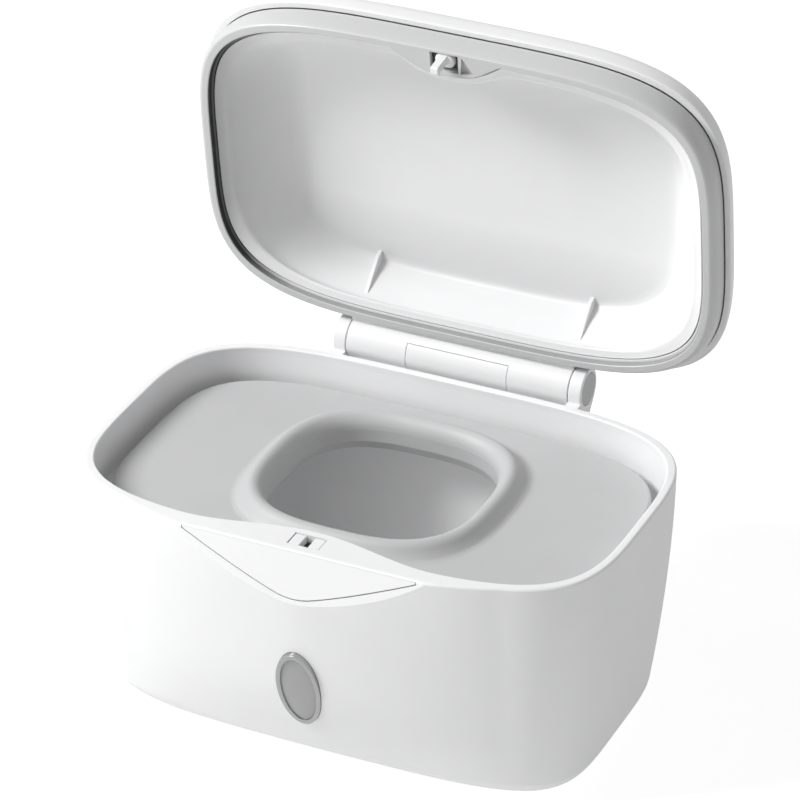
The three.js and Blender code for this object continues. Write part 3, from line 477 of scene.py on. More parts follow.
def mouth_outline(inset):
    return outline_box(BODY_W / 2 - inset, BODY_D / 2 - inset, front=lambda x: LAND_REACH * land_bell(x))


def behind_facet(outline, z, depth):
    """Moves points of the front back to a plane that lies depth behind the facet."""
    limit = CREASE_Y + (z - RIM) * math.tan(FACET) + depth / math.cos(FACET)
    moved = outline.copy()
    moved[:, 1] = np.maximum(moved[:, 1], limit)
    return moved


facet_place = Matrix.Translation((0, CREASE_Y, RIM)) @ Matrix.Rotation(-FACET, 4, "X")
# Local XY of a drawing in the facet is X and up, and its local Z goes inward
facet_draw = facet_place @ Matrix(((1, 0, 0, 0), (0, 0, 1, 0), (0, 1, 0, 0), (0, 0, 0, 1)))


def button_line(x, grow):
    slope = (BUTTON_DEPTH - BUTTON_TIP) / BUTTON_HALF
    bow = (abs(x) / BUTTON_HALF) ** BUTTON_BOW
    return -BUTTON_DEPTH + (BUTTON_DEPTH - BUTTON_TIP) * bow - grow * math.hypot(1, slope)


def button_outline(grow, top, half, arc=40):
    """The V in the facet's drawing, with a rounded point."""
    end = half + grow
    points = [(-end, top + grow), (-end, button_line(end, grow))]
    r = BUTTON_ROUND
    for x in np.linspace(end, r, 24)[1:-1]:
        points.append((-x, button_line(x, grow)))
    for t in np.linspace(0, 1, arc):
        a, b, c = (-r, button_line(r, grow)), (0, button_line(0, grow)), (r, button_line(r, grow))
        points.append(tuple((1 - t) ** 2 * a[k] + 2 * t * (1 - t) * b[k] + t * t * c[k] for k in (0, 1)))
    for x in np.linspace(r, end, 24)[1:-1]:
        points.append((x, button_line(x, grow)))
    points += [(end, button_line(end, grow)), (end, top + grow)]
    return np.array(points)


# Box
EDGE = 1.0


def foot_height(share):
    """A height on the rounded foot, closer together near the floor."""
    return FILLET_RISE * (1 - math.cos(share * math.pi / 2)) if share < 1 else FILLET_RISE


def body_levels():
    """Loops up the outside, over the rim and down the inside."""
    levels = []
    for share in np.linspace(0, 1, 15):
        height = foot_height(share)
        levels.append(at(body_outline(height, 0), PAD_PROUD + height))
    for height in np.linspace(FILLET_RISE, BODY_H - EDGE, 46)[1:]:
        levels.append(at(body_outline(height, 0), PAD_PROUD + height))
    for turn in np.linspace(0, math.pi / 2, 10)[1:]:
        inset = EDGE * (1 - math.cos(turn))
        z = RIM - EDGE * (1 - math.sin(turn))
        levels.append(at(behind_facet(body_outline(BODY_H, inset), z, inset), z))
    inner_edge = 0.7
    outer_flat, inner_flat = EDGE + 0.25, WALL - inner_edge - 0.2
    levels.append(at(behind_facet(body_outline(BODY_H, outer_flat), RIM, outer_flat), RIM))
    levels.append(at(behind_facet(mouth_outline(inner_flat), RIM, inner_flat), RIM))
    for turn in np.linspace(0, math.pi / 2, 8):
        inset = WALL - inner_edge * (1 - math.sin(turn))
        z = RIM - inner_edge * (1 - math.cos(turn))
        levels.append(at(mouth_outline(inset), z))
    levels.append(at(mouth_outline(WALL), LAND_BOTTOM))
    for share in np.linspace(1, 0, 24):
        height = share ** 1.3 * BODY_H
        z = FLOOR_TOP + height * (LAND_BOTTOM - FLOOR_TOP) / BODY_H
        ring = body_outline(height * (LAND_BOTTOM - PAD_PROUD) / BODY_H, WALL)
        levels.append(at(behind_facet(ring, z, 3.2), z))
    return levels


body = to_object("box_shell", *loft(body_levels()), white_shell)

facet_cut = box_tool((-80, 80), (-80, 60), (-40, 0), facet_draw)
hole_depth = BUTTON_SKIN + BUTTON_TRAVEL + GAP
button_hole = prism_tool(button_outline(GAP, BUTTON_TOP, BUTTON_HALF), -6, hole_depth, facet_draw)
half_w, half_d = GUIDE_W / 2, GUIDE_D / 2
guide_hole = box_tool(
    (-half_w - GUIDE_EASE, half_w + GUIDE_EASE),
    (GUIDE_Y - half_d - GUIDE_FRONT_EASE, GUIDE_Y + half_d + GUIDE_EASE),
    (LAND_BOTTOM - GAP, RIM + 6),
)

window_front = body_outline(WINDOW_Z, 0)[:, 1].min()
window_centre = Matrix.Translation((0, window_front, PAD_PROUD + WINDOW_Z))
window_place = window_centre @ Matrix.Rotation(WINDOW_TILT, 4, "X")
window_draw = window_place @ Matrix(((1, 0, 0, 0), (0, 0, 1, 0), (0, 1, 0, 0), (0, 0, 0, 1)))


def oval(a, b, segments=120):
    turn = np.arange(segments) / segments * 2 * math.pi
    return np.c_[a * np.cos(turn), b * np.sin(turn)]


window_hole = prism_tool(oval(WINDOW_A + 0.15, WINDOW_B + 0.15), -6, WALL + 6, window_draw)
pad_outline = body_outline(0, PAD_INSET - GAP)
pad_hole = prism_tool(pad_outline, -6, PAD_T)


def knuckle_tools(side):
    """Web and drum of one knuckle, and the holes for the pin and the cap."""
    inner, outer = side * (BARREL_HALF + GAP), side * KNUCKLE_OUT
    x = (min(inner, outer), max(inner, outer))
    root = BODY_D / 2 - WALL * 0.7
    foot = RIM - 26
    across, up = HINGE_Y - root, HINGE_Z - foot
    distance = math.hypot(across, up)
    angle = math.atan2(up, across) - math.asin(BARREL_R / distance)
    reach = math.sqrt(distance ** 2 - BARREL_R ** 2)
    tangent = (root + reach * math.cos(angle), foot + reach * math.sin(angle))
    points = [(root, foot), tangent, (HINGE_Y, RIM), (root, RIM)]
    web = prism_tool(points, x[0], x[1], rod_matrix(0, 0))
    verts, faces = loft(rounded_rod(BARREL_R, x[0], x[1], 0.5, 128))
    drum = to_object("tool", turned(verts, rod_matrix(HINGE_Y, HINGE_Z)), faces, white_shell)
    pin = rod_tool(PIN_R + GAP, (x[0] - 6, x[1] + 6), HINGE_Y, HINGE_Z)
    depth = CAP_T + GAP
    cap = (outer - depth, outer + 6) if side > 0 else (outer - 6, outer + depth)
    cap_hole = rod_tool(CAP_R + 0.12, cap, HINGE_Y, HINGE_Z)
    return web, drum, pin, cap_hole


def outside_levels():
    """Loops of the outer wall's solid, a little inside its surface."""
    levels = []
    for share in np.linspace(0, 1, 8):
        height = foot_height(share)
        levels.append(at(body_outline(height, 0.5), PAD_PROUD + height))
    for height in np.linspace(FILLET_RISE, BODY_H, 24)[1:]:
        levels.append(at(body_outline(height, 0.5), PAD_PROUD + height))
    return levels


def inner_tools():
    """The four brackets under the plate and the two screw posts, kept inside the outer wall."""
    outside = to_object("outside", *loft(outside_levels()), white_shell)
    made = []
    tops = PLATE_LOW - GAP
    root = BODY_D / 2
    out, tip, foot = root + BRACKET_OUT, root - WALL - 9.5, root - WALL - 3
    for middle in (-BRACKET_X, BRACKET_X):
        for end in (-1, 1):
            points = [
                (end * out, tops), (end * tip, tops), (end * tip, tops - 2.5),
                (end * foot, tops - BRACKET_DROP), (end * out, tops - BRACKET_DROP),
            ]
            ends = middle - BRACKET_HALF, middle + BRACKET_HALF
            made.append(prism_tool(points, *ends, rod_matrix(0, 0)))
    for side in (-1, 1):
        bottom = RIM - COVER_DROP + COVER_WALL + GAP
        made.append(prism_tool(circle(BOSS_R, 48, (side * BOSS_X, BOSS_Y)), bottom, LAND_BOTTOM + 0.5))
    for tool in made:
        change = tool.modifiers.new("change", "BOOLEAN")
        change.operation = "INTERSECT"
        change.solver = "EXACT"
        change.object = outside
    graph = bpy.context.evaluated_depsgraph_get()
    for tool in made:
        mesh = bpy.data.meshes.new_from_object(tool.evaluated_get(graph))
        tool.modifiers.clear()
        tool.data = mesh
    bpy.data.objects.remove(outside)
    return made


left, right = knuckle_tools(-1), knuckle_tools(1)
boolean(body, [left[0], left[1], right[0], right[1], *inner_tools()], "UNION")
holes = [facet_cut, button_hole, guide_hole, window_hole, pad_hole, left[2], left[3], right[2], right[3]]
boolean(body, holes, "DIFFERENCE")
# The deep inner faces of the box take the faintly glowing white_inside: painted light, stronger towards the
# right
body.data.materials.append(white_inside)
for face in body.data.polygons:
    middle, facing = face.center / MM, face.normal
    inside = abs(middle.x) < BODY_W / 2 - WALL + 0.5 and abs(middle.y) < BODY_D / 2 - WALL + 0.5
    deep = FLOOR_TOP - 0.1 < middle.z < PLATE_LOW - 1
    if inside and deep and (facing.z > 0.9 or facing.x * middle.x + facing.y * middle.y < 0):
        face.material_index = 1
smooth(body, 9)
place(body, "body", ["body_shell"])


# Push button: the face with a softened edge, and its core and flange behind
def button_levels():
    levels = []
    edge, top = 0.35, BUTTON_TOP + 0.22
    for turn in np.linspace(0, math.pi / 2, 6):
        grow = -edge * (1 - math.sin(turn))
        levels.append(at(button_outline(grow, top - grow, BUTTON_HALF), edge * (1 - math.cos(turn))))
    levels.append(at(button_outline(0, top, BUTTON_HALF), BUTTON_SKIN))
    return levels


def drawn_solid(name, levels, matrix, material):
    verts, faces = loft(levels)
    if matrix.determinant() < 0:
        faces = [face[::-1] for face in faces]
    return to_object(name, turned(verts, matrix), faces, material)


button = drawn_solid("button_face", button_levels(), facet_draw, white_shell)
core_end = BUTTON_SKIN + CORE_T
core = prism_tool(button_outline(0, CORE_TOP, CORE_HALF), BUTTON_SKIN - BITE, core_end, facet_draw)
flange = prism_tool(
    button_outline(FLANGE_LAP, FLANGE_TOP, FLANGE_HALF), core_end - BITE, core_end + FLANGE_T, facet_draw,
)
boolean(button, [core, flange], "UNION")
smooth(button, 20)
place(button, "button", ["push_button"])


# Inner plate
def spline(points, samples):
    """A smooth line through points, as a Catmull-Rom curve."""
    points = np.asarray(points, float)
    padded = np.vstack([2 * points[0] - points[1], points, 2 * points[-1] - points[-2]])
    made = []
    for i in range(len(points) - 1):
        a, b, c, d = padded[i:i + 4]
        for t in np.linspace(0, 1, samples, endpoint=False):
            square, cube = 2 * a - 5 * b + 4 * c - d, 3 * b - a - 3 * c + d
            made.append(0.5 * (2 * b + (c - a) * t + square * t ** 2 + cube * t ** 3))
    made.append(points[-1])
    return np.array(made)


def plate_outline(inset):
    return outline_box(
        PLATE_W - inset, PLATE_D - inset, PLATE_P, PLATE_SHIFT, lambda x: PLATE_REACH * land_bell(x),
    )


def mouth_ring(offset):
    return outline_box(HOLE_W + offset, HOLE_D + offset, HOLE_P, HOLE_SHIFT)


# The collar's cross-section, as shares of its width and height from the mouth outward
COLLAR = [
    (1.08, 0), (1, 0.02), (0.88, 0.12), (0.74, 0.42), (0.58, 0.84),
    (0.42, 1), (0.26, 0.92), (0.13, 0.66), (0.04, 0.3), (0, -0.1),
]


def plate_levels():
    """Loops over the top, the collar and the mouth, and back along the underside."""
    levels = [at(plate_outline(0), PLATE_LOW)]
    edge = 1.2
    for turn in np.linspace(0, math.pi / 2, 9):
        levels.append(at(plate_outline(edge * (1 - math.cos(turn))), PLATE_Z - edge * (1 - math.sin(turn))))
    levels.append(at(plate_outline(edge + 0.6), PLATE_Z))
    levels.append(at(mouth_ring(COLLAR_W * 1.12), PLATE_Z))
    for out, up in spline(COLLAR, 5):
        levels.append(at(mouth_ring(out * COLLAR_W), PLATE_Z + up * COLLAR_H))
    return levels + [
        at(mouth_ring(0), PLATE_LOW + 3.8), at(mouth_ring(0.06), PLATE_LOW + 3.3),
        at(mouth_ring(1.5), PLATE_LOW), at(mouth_ring(PLATE_SKIN), PLATE_LOW),
        at(mouth_ring(PLATE_SKIN), PLATE_Z), at(mouth_ring(COLLAR_W), PLATE_Z - PLATE_SKIN),
        at(plate_outline(PLATE_SKIN), PLATE_Z - PLATE_SKIN), at(plate_outline(PLATE_SKIN), PLATE_LOW),
    ]


plate = to_object("plate_skin", *loft(plate_levels(), True), grey_plate)
smooth(plate, 25)
place(plate, "plate", ["plate_top"])


def closing_levels():
    """The flat piece that closes the plate from below, with softened edges."""
    skin = PLATE_SKIN + GAP
    edge = 0.25
    return [
        at(plate_outline(skin + edge), PLATE_LOW), at(plate_outline(skin), PLATE_LOW + edge),
        at(plate_outline(skin), PLATE_LOW + 2), at(mouth_ring(skin), PLATE_LOW + 2),
        at(mouth_ring(skin), PLATE_LOW + edge), at(mouth_ring(skin + edge), PLATE_LOW),
    ]


closing = to_object("plate_closing", *loft(closing_levels(), True), grey_plate)
smooth(closing, 25)
place(closing, "plate", ["plate_base"])


# Lid, drawn shut and then opened
lid_open = (
    Matrix.Translation((0, HINGE_Y, HINGE_Z)) @ Matrix.Rotation(-LID_ANGLE, 4, "X")
    @ Matrix.Translation((0, -HINGE_Y, -HINGE_Z))
)


FRAME_H, FRAME_TOP_W, FRAME_TOP_D, LID_SHIFT = 11.3, 103.1, 67.4, 2
MOUTH_W, MOUTH_D, MOUTH_P, LID_REACH = 99.1, 62.5, (3.9, 4.2, 4.2), 8
FLANGE, FRAME_WALL = 2.2, 2.4
COVER_W, COVER_D, COVER_SKIN, COVER_RISE = 105.6, 69.8, 2.2, 19.4
SIDE_ROLL, FRONT_ROLL, ROLL_RISE, LIP_H = 3.6, 1.2, 8.5, 5.4
GROOVE, STRIP, STRIP_DROP, LINER_SKIN = 1.4, 2.2, 1.2, 1.6
LINER_SUNK, LINER_H, LINER_DRAW, LINER_BACK = 2.6, 22.1, 21.5, 3.4


def frame_outline(rise, inset):
    share = rise / FRAME_H
    roll = max(0.0, 1 - rise / ROLL_RISE)
    inward = 1 - math.sqrt(1 - roll ** 2)
    width = BODY_W / 2 + (FRAME_TOP_W - BODY_W / 2) * share - SIDE_ROLL * inward
    depth = BODY_D / 2 + (FRAME_TOP_D - BODY_D / 2) * share - FRONT_ROLL * inward
    return outline_box(width - inset, depth - inset, shift=LID_SHIFT * share)


def lid_mouth(inset, reach=LID_REACH):
    return outline_box(MOUTH_W - inset, MOUTH_D - inset, MOUTH_P, front=lambda x: reach * lid_bell(x))


def frame_levels():
    """Loops from the lip, out under the ring, up its side and back over its top."""
    lip = 0.3
    levels = []
    for turn in np.linspace(0, math.pi / 2, 5):
        levels.append(at(lid_mouth(-lip * (1 - math.cos(turn))), LID_FLOOR + lip * (1 - math.sin(turn))))
    levels.append(at(lid_mouth(-lip - 0.3), LID_FLOOR))
    levels.append(at(frame_outline(0, 0.4), LID_FLOOR))
    for turn in np.linspace(0, math.pi / 2, 22):
        rise = ROLL_RISE * (1 - math.cos(turn))
        levels.append(at(frame_outline(rise, 0.1 * (1 - math.sin(turn))), LID_FLOOR + rise))
    levels.append(at(frame_outline(FRAME_H - 0.35, 0), LID_FLOOR + FRAME_H - 0.35))
    levels.append(at(frame_outline(FRAME_H - 0.1, 0.1), LID_FLOOR + FRAME_H - 0.1))
    levels.append(at(frame_outline(FRAME_H, 0.4), LID_FLOOR + FRAME_H))
    levels.append(at(frame_outline(FRAME_H, FRAME_WALL), LID_FLOOR + FRAME_H))
    levels.append(at(frame_outline(LIP_H, FRAME_WALL), LID_FLOOR + LIP_H))
    levels.append(at(lid_mouth(0), LID_FLOOR + LIP_H))
    return levels


lid_frame = to_object("lid_rim", *loft(frame_levels(), True), frame_white)
verts, faces = loft(rounded_rod(BARREL_R, -BARREL_HALF, BARREL_HALF, 0.4, 144))
barrel = to_object("lid_barrel", turned(verts, rod_matrix(HINGE_Y, HINGE_Z)), faces, white_lid)
web = box_tool((-BARREL_HALF, BARREL_HALF), (BODY_D / 2 - 1.2, HINGE_Y), (RIM + 2, RIM + 9.5))
room = [
    rod_tool(BARREL_R + GAP, (BARREL_HALF, KNUCKLE_OUT + GAP), HINGE_Y, HINGE_Z),
    rod_tool(BARREL_R + GAP, (-KNUCKLE_OUT - GAP, -BARREL_HALF), HINGE_Y, HINGE_Z),
]
boolean(barrel, [web], "UNION")
PANEL_HALF, PANEL_T, PANEL_TURN, PANEL_ANGLE = 20.8, 1.1, math.radians(39), math.radians(257.6)
PANEL_EASE = 0.2


def sector(inner, outer, half_turn, steps=40):
    turns = np.linspace(PANEL_ANGLE - half_turn, PANEL_ANGLE + half_turn, steps)
    out = np.c_[outer * np.cos(turns), outer * np.sin(turns)]
    back = np.c_[inner * np.cos(turns[::-1]), inner * np.sin(turns[::-1])]
    return np.concatenate([out, back])


def recess_tool():
    return prism_tool(
        sector(BARREL_R - PANEL_T - 0.1, BARREL_R + 6, PANEL_TURN + PANEL_EASE / BARREL_R),
        -PANEL_HALF - PANEL_EASE, PANEL_HALF + PANEL_EASE, rod_matrix(HINGE_Y, HINGE_Z),
    )


# The hook's window, the room behind it and the small notch beside it end at one line
HOOK_BACK, OPEN_HALF, OPEN_FRONT, ROOM_HALF, ROOM_FRONT = -56.6, 5.55, -64, 9.8, -63.6
NOTCH_NEAR, NOTCH_TIP, NOTCH_FAR, NOTCH_FRONT, NOTCH_DEPTH = 6.3, 7, 12.2, -63.7, 1.9
BORE_R, BORE_DEPTH = 3.9, 4.6
PLATE_BEHIND = LID_FLOOR + FLANGE + GAP
hook_window = box_tool((-OPEN_HALF, OPEN_HALF), (OPEN_FRONT, HOOK_BACK), (LID_FLOOR - 6, PLATE_BEHIND))
room_up = LID_FLOOR + FLANGE, LID_FLOOR + LIP_H + 6
hook_room = box_tool((-ROOM_HALF, ROOM_HALF), (ROOM_FRONT, HOOK_BACK), room_up)
notch_points = [(NOTCH_NEAR, HOOK_BACK), (NOTCH_TIP, NOTCH_FRONT), (NOTCH_FAR, HOOK_BACK)]
notch = prism_tool(notch_points, LID_FLOOR - 6, LID_FLOOR + NOTCH_DEPTH)
bores = [
    rod_tool(BORE_R, (-BARREL_HALF - 6, -BARREL_HALF + BORE_DEPTH), HINGE_Y, HINGE_Z),
    rod_tool(BORE_R, (BARREL_HALF - BORE_DEPTH, BARREL_HALF + 6), HINGE_Y, HINGE_Z),
]
boolean(lid_frame, [*room, recess_tool(), hook_window, hook_room, notch], "DIFFERENCE")
boolean(barrel, [recess_tool(), *bores], "DIFFERENCE")
move_mesh(lid_frame, lid_open)
move_mesh(barrel, lid_open)
smooth(lid_frame, 12)
smooth(barrel, 12)
place(lid_frame, "lid", ["lid_frame"])
place(barrel, "lid", [], "lid_frame")

# Hook: a white head and tongue on a dark carrier behind the window
HOOK_Y, TONGUE_HALF, TONGUE_FRONT, TONGUE_BACK = -60.9, 1.4, -63.4, -60.4
NOSE_LOW, NOSE_TOP, NOSE_REACH = RIM - 8.4, RIM - 6, 1.5
HEAD_W, HEAD_D, HEAD_P = 3.7, 2.8, (2.8, 2.3, 4)
head_levels = []
for rise, inset in ((-0.1, 1.1), (0.02, 0.6), (0.25, 0.25), (0.6, 0.05), (1, 0), (2.6, 0)):
    ring = outline_box(HEAD_W - inset, HEAD_D - inset, HEAD_P, HOOK_Y, steps=96)
    head_levels.append(at(ring, LID_FLOOR + rise))
hook = to_object("hook_head", *loft(head_levels), white_lid)
tongue = prism_tool([
    (TONGUE_FRONT + 0.5, NOSE_LOW), (TONGUE_BACK - 0.4, NOSE_LOW), (TONGUE_BACK, NOSE_LOW + 0.3),
    (TONGUE_BACK + NOSE_REACH, NOSE_TOP - 0.3), (TONGUE_BACK + NOSE_REACH, NOSE_TOP), (TONGUE_BACK, NOSE_TOP),
    (TONGUE_BACK, LID_FLOOR + 1), (TONGUE_FRONT, LID_FLOOR + 1), (TONGUE_FRONT, NOSE_LOW + 0.5),
], -TONGUE_HALF, TONGUE_HALF, rod_matrix(0, 0))
boolean(hook, [tongue], "UNION")
move_mesh(hook, lid_open)
soften(hook, 0.3, 3, 40)
smooth(hook, 30)
place(hook, "lid", ["latch_hook"])
carrier = box_tool((-9.5, 9.5), (-63, -57.4), (PLATE_BEHIND, PLATE_BEHIND + 1.6))
carrier.name = "hook_carrier"
wear(carrier, dark_nylon)
move_mesh(carrier, lid_open)
soften(carrier, 0.2, 2)
smooth(carrier, 30)
place(carrier, "lid", [], "latch_hook")

# Hinge panel, with rounded edges
panel_ring = sector(BARREL_R - PANEL_T, BARREL_R, PANEL_TURN)
verts, faces = loft([at(panel_ring, -PANEL_HALF), at(panel_ring, PANEL_HALF)])
panel = to_object("hinge_cover", turned(verts, rod_matrix(HINGE_Y, HINGE_Z)), faces, white_lid)
move_mesh(panel, lid_open)
soften(panel, 0.2, 3)
smooth(panel, 30)
place(panel, "lid", ["hinge_panel"])


# Lid cover
def dome(share, inset):
    return outline_box(COVER_W - share * 52 - inset, COVER_D - share * 30 - inset, shift=LID_SHIFT)


# The dome's cross-section, as shares of the way in and of the rise
DOME = [(0, 0), (0.006, 0.15), (0.03, 0.36), (0.09, 0.57), (0.18, 0.75), (0.33, 0.88), (0.58, 0.96), (1, 1)]


def cover_levels():
    """Loops down the inside of the dome and up its outside."""
    low = LID_FLOOR + FRAME_H + GAP
    line = spline(DOME, 7)
    levels = []
    for share, up in line[::-3]:
        levels.append(at(dome(share, COVER_SKIN), low + up * (COVER_RISE - COVER_SKIN)))
    levels.append(at(dome(0, COVER_SKIN), low))
    levels.append(at(dome(0, 0.3), low))
    for share, up in line:
        inset = 0.3 * max(0, 1 - up / 0.03)
        lift = 0.25 if up < 0.01 else 0
        levels.append(at(dome(share, inset), low + max(up, 0.0) * COVER_RISE + lift))
    return levels


cover = to_object("lid_dome", *loft(cover_levels()), white_lid)
move_mesh(cover, lid_open)
smooth(cover, 30)
place(cover, "lid", ["lid_cover"])

# Lid liner: a dish with a flat back and two ribs
# Each point is a share of the way in, a share of the depth and a share of the shift at the hinge's side
DISH = [
    (0, 0, 0), (0.12, 0.06, 0), (0.26, 0.27, -0.88), (0.5, 0.68, 0.24),
    (0.72, 0.92, 0.87), (0.86, 0.983, 1.24), (1, 1, 1.75),
]


def dish_outline(share, back_share, offset):
    inset = GROOVE + STRIP - offset
    drawn, back = share * LINER_DRAW, back_share * LINER_BACK
    ring = lid_mouth(inset + drawn, LID_REACH * (1 - share))
    stretch = (drawn - back) / (MOUTH_D - inset - drawn)
    ring[:, 1] = np.where(ring[:, 1] > 0, ring[:, 1] * (1 + stretch), ring[:, 1])
    return ring


def liner_levels():
    edge = LID_FLOOR + LINER_SUNK
    low = edge + STRIP_DROP
    line = spline(DISH, 6)
    levels = []
    for share, up, back in line[::-1]:
        levels.append(at(dish_outline(share, back, 0), low + up * LINER_H))
    for share in (0.25, 0.5, 0.75):
        levels.append(at(dish_outline(0, 0, STRIP * share), low - STRIP_DROP * share))
    levels.append(at(dish_outline(0, 0, STRIP - 0.25), edge + 0.05))
    levels.append(at(dish_outline(0, 0, STRIP), edge + 0.3))
    levels.append(at(dish_outline(0, 0, STRIP), edge + LINER_SKIN))
    for share, up, back in line[2::2]:
        offset = LINER_SKIN * (1 - share / 2)
        levels.append(at(dish_outline(share, back, offset), low + LINER_SKIN + up * LINER_H))
    return levels


liner = to_object("lid_dish", *loft(liner_levels()[::-1]), white_inner)
move_mesh(liner, lid_open)
outward(liner)
smooth(liner, 30)
place(liner, "lid", ["lid_liner"])


# Seal: a body in the groove round the lid's mouth, and a thin dark fin that lines the lip, a sheet of painted
# shade for the shadow on the lip's inner face
def seal_ring(name, corners, material):
    levels = [at(lid_mouth(inset), LID_FLOOR + rise) for inset, rise in corners]
    made = to_object(name, *loft(levels, True), material)
    move_mesh(made, lid_open)
    outward(made)
    smooth(made, 30)
    return made


SEAL = [(0.02, 4.8), (0.02, 2.4), (0.8, 2.4), (1.02, 2.5), (1.1, 2.75), (1.1, 4.8)]
FIN = [(0.02, 2.39), (0.02, 0.45), (0.18, 0.5), (0.3, 0.7), (0.3, 2.39)]
seal = seal_ring("lid_seal", SEAL, seal_grey)
place(seal, "lid", ["lid_gasket"])
# The fin is painted shade on the lip's inner face, not a part of the seal
fin = seal_ring("lid_painted_shade_fin", FIN, seal_fin_painted_shade)
place(fin, "lid", [], "lid_gasket")

# Ribs of the liner
RIB_X, RIB_HALF = 44, 0.8
WALL_Y = MOUTH_D - GROOVE - STRIP
low = LID_FLOOR + LINER_SUNK + STRIP_DROP
gusset = np.array([
    (WALL_Y + 4.2, low + 4.2),
    (WALL_Y + 4.4, low + 8),
    (WALL_Y - 1.2, low + LINER_H),
    (WALL_Y - 8.8, low + LINER_H + 0.8),
    (WALL_Y - 7.6, low + 18.9),
])
for name, x in (("lid_rib_left", -RIB_X), ("lid_rib_right", RIB_X)):
    verts, faces = loft([at(gusset, x - RIB_HALF), at(gusset, x + RIB_HALF)])
    rib = to_object(name, turned(verts, rod_matrix(0, 0)), faces, white_inner)
    move_mesh(rib, lid_open)
    soften(rib, 0.3, 3)
    smooth(rib, 30)
    place(rib, "lid", [], "lid_liner")


# Window: a rounded ring and a crowned pane
def ring_levels():
    middle_a, middle_b = WINDOW_A - WINDOW_BAND / 2, WINDOW_B - WINDOW_BAND / 2
    half = WINDOW_BAND / 2
    levels = []
    for turn in np.linspace(0, math.pi, 15):
        off = half * math.cos(turn)
        levels.append(at(oval(middle_a + off, middle_b + off), 0.1 - 0.45 * math.sin(turn) ** 0.6))
    levels.append(at(oval(middle_a - half, middle_b - half), 0.7))
    levels.append(at(oval(middle_a - half + 0.9, middle_b - half + 0.9), 0.7))
    levels.append(at(oval(middle_a - half + 0.9, middle_b - half + 0.9), 3))
    levels.append(at(oval(middle_a + half, middle_b + half), 3))
    return levels


ring = to_object("window_ring", *loft(ring_levels(), True), ring_satin)
move_mesh(ring, window_draw)
outward(ring)
smooth(ring, 30)
place(ring, "body", ["window_bezel"])

PANE_A, PANE_B, PANE_CROWN, PANE_BACK = 7.5, 16.3, 0.7, 2.4
pane_levels = []
for share in np.linspace(0.02, 1, 14):
    crown = PANE_CROWN * math.sqrt(max(0, 1 - share ** 2))
    pane_levels.append(at(oval(PANE_A * share, PANE_B * share), PANE_CROWN - crown))
pane_levels.append(at(oval(PANE_A, PANE_B), PANE_BACK))
pane = to_object("window_glass", *loft(pane_levels), pane_grey)
move_mesh(pane, window_draw)
outward(pane)
smooth(pane, 30)
place(pane, "body", ["window_pane"])

# CAD nodes that stay, each with a procedural material
LOOKS = (
    (dark_rubber, ("base_pad", "window_seal")),
    (white_shell, ("latch_guide", "latch_cover")),
    (dark_nylon, ("catch_slider", "hinge_damper")),
    (natural_nylon, ("hinge_bush_left", "hinge_bush_right")),
    (grey_cap, ("hinge_cap_left", "hinge_cap_right")),
    (drawn_steel, ("latch_screw_left", "latch_screw_right", "hinge_pin", "hinge_spring")),
    (drawn_steel, ("catch_spring_left", "catch_spring_right")),
    (drawn_steel, ("button_spring_left", "button_spring_right")),
    (drawn_steel, ("plate_weight_left", "plate_weight_right")),
)
for material, names in LOOKS:
    for name in names:
        wear(frame["nodes"][name], material)


def refine(name, width, limit=30):
    """A copy of a CAD node without its flat facets' edges, with rounded edges, in the node's place."""
    node = frame["nodes"][name]
    made = bpy.data.objects.new(name + "_soft", node.data.copy())
    bpy.context.scene.collection.objects.link(made)
    work = bmesh.new()
    work.from_mesh(made.data)
    bmesh.ops.remove_doubles(work, verts=work.verts, dist=2e-6)
    bmesh.ops.dissolve_limit(work, angle_limit=math.radians(1), verts=work.verts, edges=work.edges)
    sharp = [e for e in work.edges if len(e.link_faces) == 2 and e.calc_face_angle(0) > math.radians(limit)]
    bmesh.ops.bevel(
        work, geom=sharp, offset=width * MM, offset_type="OFFSET", segments=3, profile=0.5,
        affect="EDGES", clamp_overlap=True,
    )
    work.to_mesh(made.data)
    work.free()
    if "custom_normal" in made.data.attributes:
        made.data.attributes.remove(made.data.attributes["custom_normal"])
    smooth(made, 32)
    body_name = next(b for b, members in frame["record"]["behaviour"]["bodies"].items() if name in members)
    return place(made, body_name, [name])


for name, width in (
    ("latch_guide", 0.3), ("hinge_cap_left", 0.3), ("hinge_cap_right", 0.3),
    ("base_pad", 0.4), ("latch_cover", 0.25),
):
    refine(name, width)

# Floor and backdrop
FLOOR_HALF, FLOOR_TONE, FLOOR_GLOW, OTHER_RAYS = 3000, 0.5, 0.78, 0.5
corners = FLOOR_HALF * np.array([(-1, -1), (1, -1), (1, 1), (-1, 1)])
floor = to_object("floor", at(corners, 0), [(0, 1, 2, 3)], white_shell)
floor_material = bpy.data.materials.new("floor_white")
floor_material.use_nodes = True
nodes, links = floor_material.node_tree.nodes, floor_material.node_tree.links
nodes.clear()
out = nodes.new("ShaderNodeOutputMaterial")
diffuse = nodes.new("ShaderNodeBsdfDiffuse")
diffuse.inputs["Color"].default_value = (FLOOR_TONE, FLOOR_TONE, FLOOR_TONE, 1)
glow = nodes.new("ShaderNodeEmission")
glow.inputs["Color"].default_value = (1, 1, 1, 1)
path = nodes.new("ShaderNodeLightPath")
# The floor glows fully for camera rays, and by the share OTHER_RAYS for all others
seen = nodes.new("ShaderNodeMath")
seen.operation = "MAXIMUM"
seen.inputs[1].default_value = OTHER_RAYS
links.new(path.outputs["Is Camera Ray"], seen.inputs[0])
level = nodes.new("ShaderNodeMath")
level.operation = "MULTIPLY"
level.inputs[1].default_value = FLOOR_GLOW
links.new(seen.outputs[0], level.inputs[0])
links.new(level.outputs[0], glow.inputs["Strength"])
total = nodes.new("ShaderNodeAddShader")
links.new(diffuse.outputs[0], total.inputs[0])
links.new(glow.outputs[0], total.inputs[1])
links.new(total.outputs[0], out.inputs["Surface"])
wear(floor, floor_material)

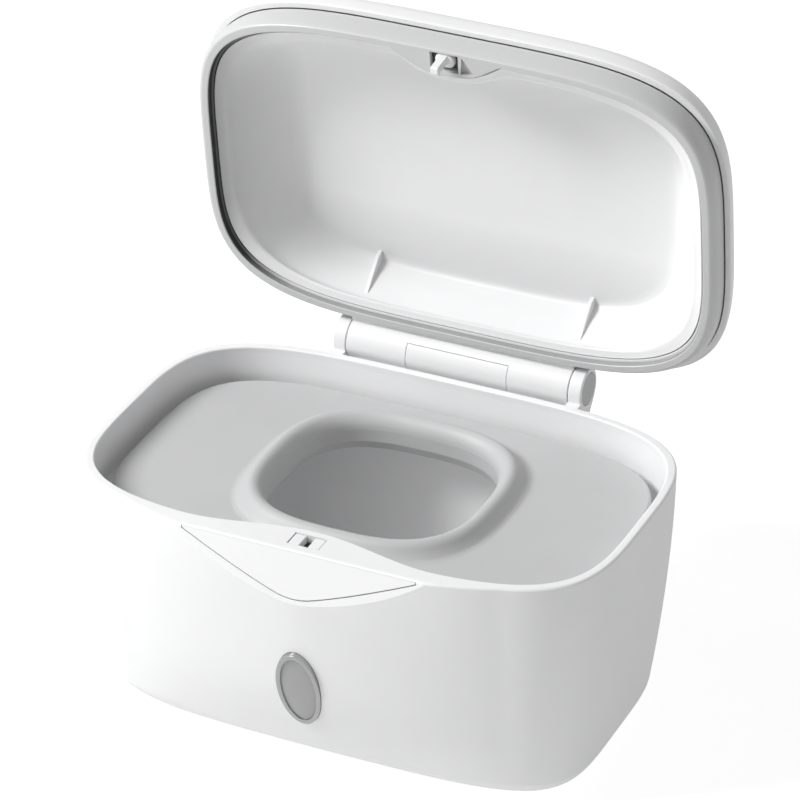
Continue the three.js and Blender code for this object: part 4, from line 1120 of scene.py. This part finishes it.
# The world fills from all sides, a little more from the left, and is white in what the camera sees of it
FILL_LEFT, FILL_RIGHT, SHOWN = 0.4, 0.33, 1
world = bpy.data.worlds.new("studio")
bpy.context.scene.world = world
world.use_nodes = True
nodes, links = world.node_tree.nodes, world.node_tree.links
nodes.clear()
out = nodes.new("ShaderNodeOutputWorld")
sky = nodes.new("ShaderNodeBackground")
sky.inputs["Color"].default_value = (1, 1, 1, 1)
path = nodes.new("ShaderNodeLightPath")
first = nodes.new("ShaderNodeMath")
first.operation = "MAXIMUM"
second = nodes.new("ShaderNodeMath")
second.operation = "MAXIMUM"
links.new(path.outputs["Is Camera Ray"], first.inputs[0])
links.new(path.outputs["Is Glossy Ray"], first.inputs[1])
links.new(first.outputs[0], second.inputs[0])
links.new(path.outputs["Is Transmission Ray"], second.inputs[1])
coords = nodes.new("ShaderNodeTexCoord")
split = nodes.new("ShaderNodeSeparateXYZ")
links.new(coords.outputs["Generated"], split.inputs[0])
fill = nodes.new("ShaderNodeMapRange")
fill.inputs["From Min"].default_value = -1
fill.inputs["From Max"].default_value = 1
fill.inputs["To Min"].default_value = FILL_LEFT
fill.inputs["To Max"].default_value = FILL_RIGHT
links.new(split.outputs["X"], fill.inputs["Value"])
mix = nodes.new("ShaderNodeMix")
mix.data_type = "FLOAT"
mix.inputs["B"].default_value = SHOWN
links.new(second.outputs[0], mix.inputs["Factor"])
links.new(fill.outputs["Result"], mix.inputs["A"])
links.new(mix.outputs["Result"], sky.inputs["Strength"])
links.new(sky.outputs[0], out.inputs["Surface"])

# Key lamp, in metres and watts
KEY_PLACE, KEY_AIM, KEY_SIZE, KEY_WATTS = Vector((-1.36, -0.87, 1.57)), Vector((0, 0, 0.12)), 0.8, 47
key_light = bpy.data.lights.new("key", "AREA")
key_light.shape = "SQUARE"
key_light.size = KEY_SIZE
key_light.energy = KEY_WATTS
key = bpy.data.objects.new("key", key_light)
bpy.context.scene.collection.objects.link(key)
key.location = KEY_PLACE
key.rotation_mode = "QUATERNION"
key.rotation_quaternion = (KEY_AIM - KEY_PLACE).to_track_quat("-Z", "Y")

bpy.context.scene.view_settings.view_transform = "Standard"
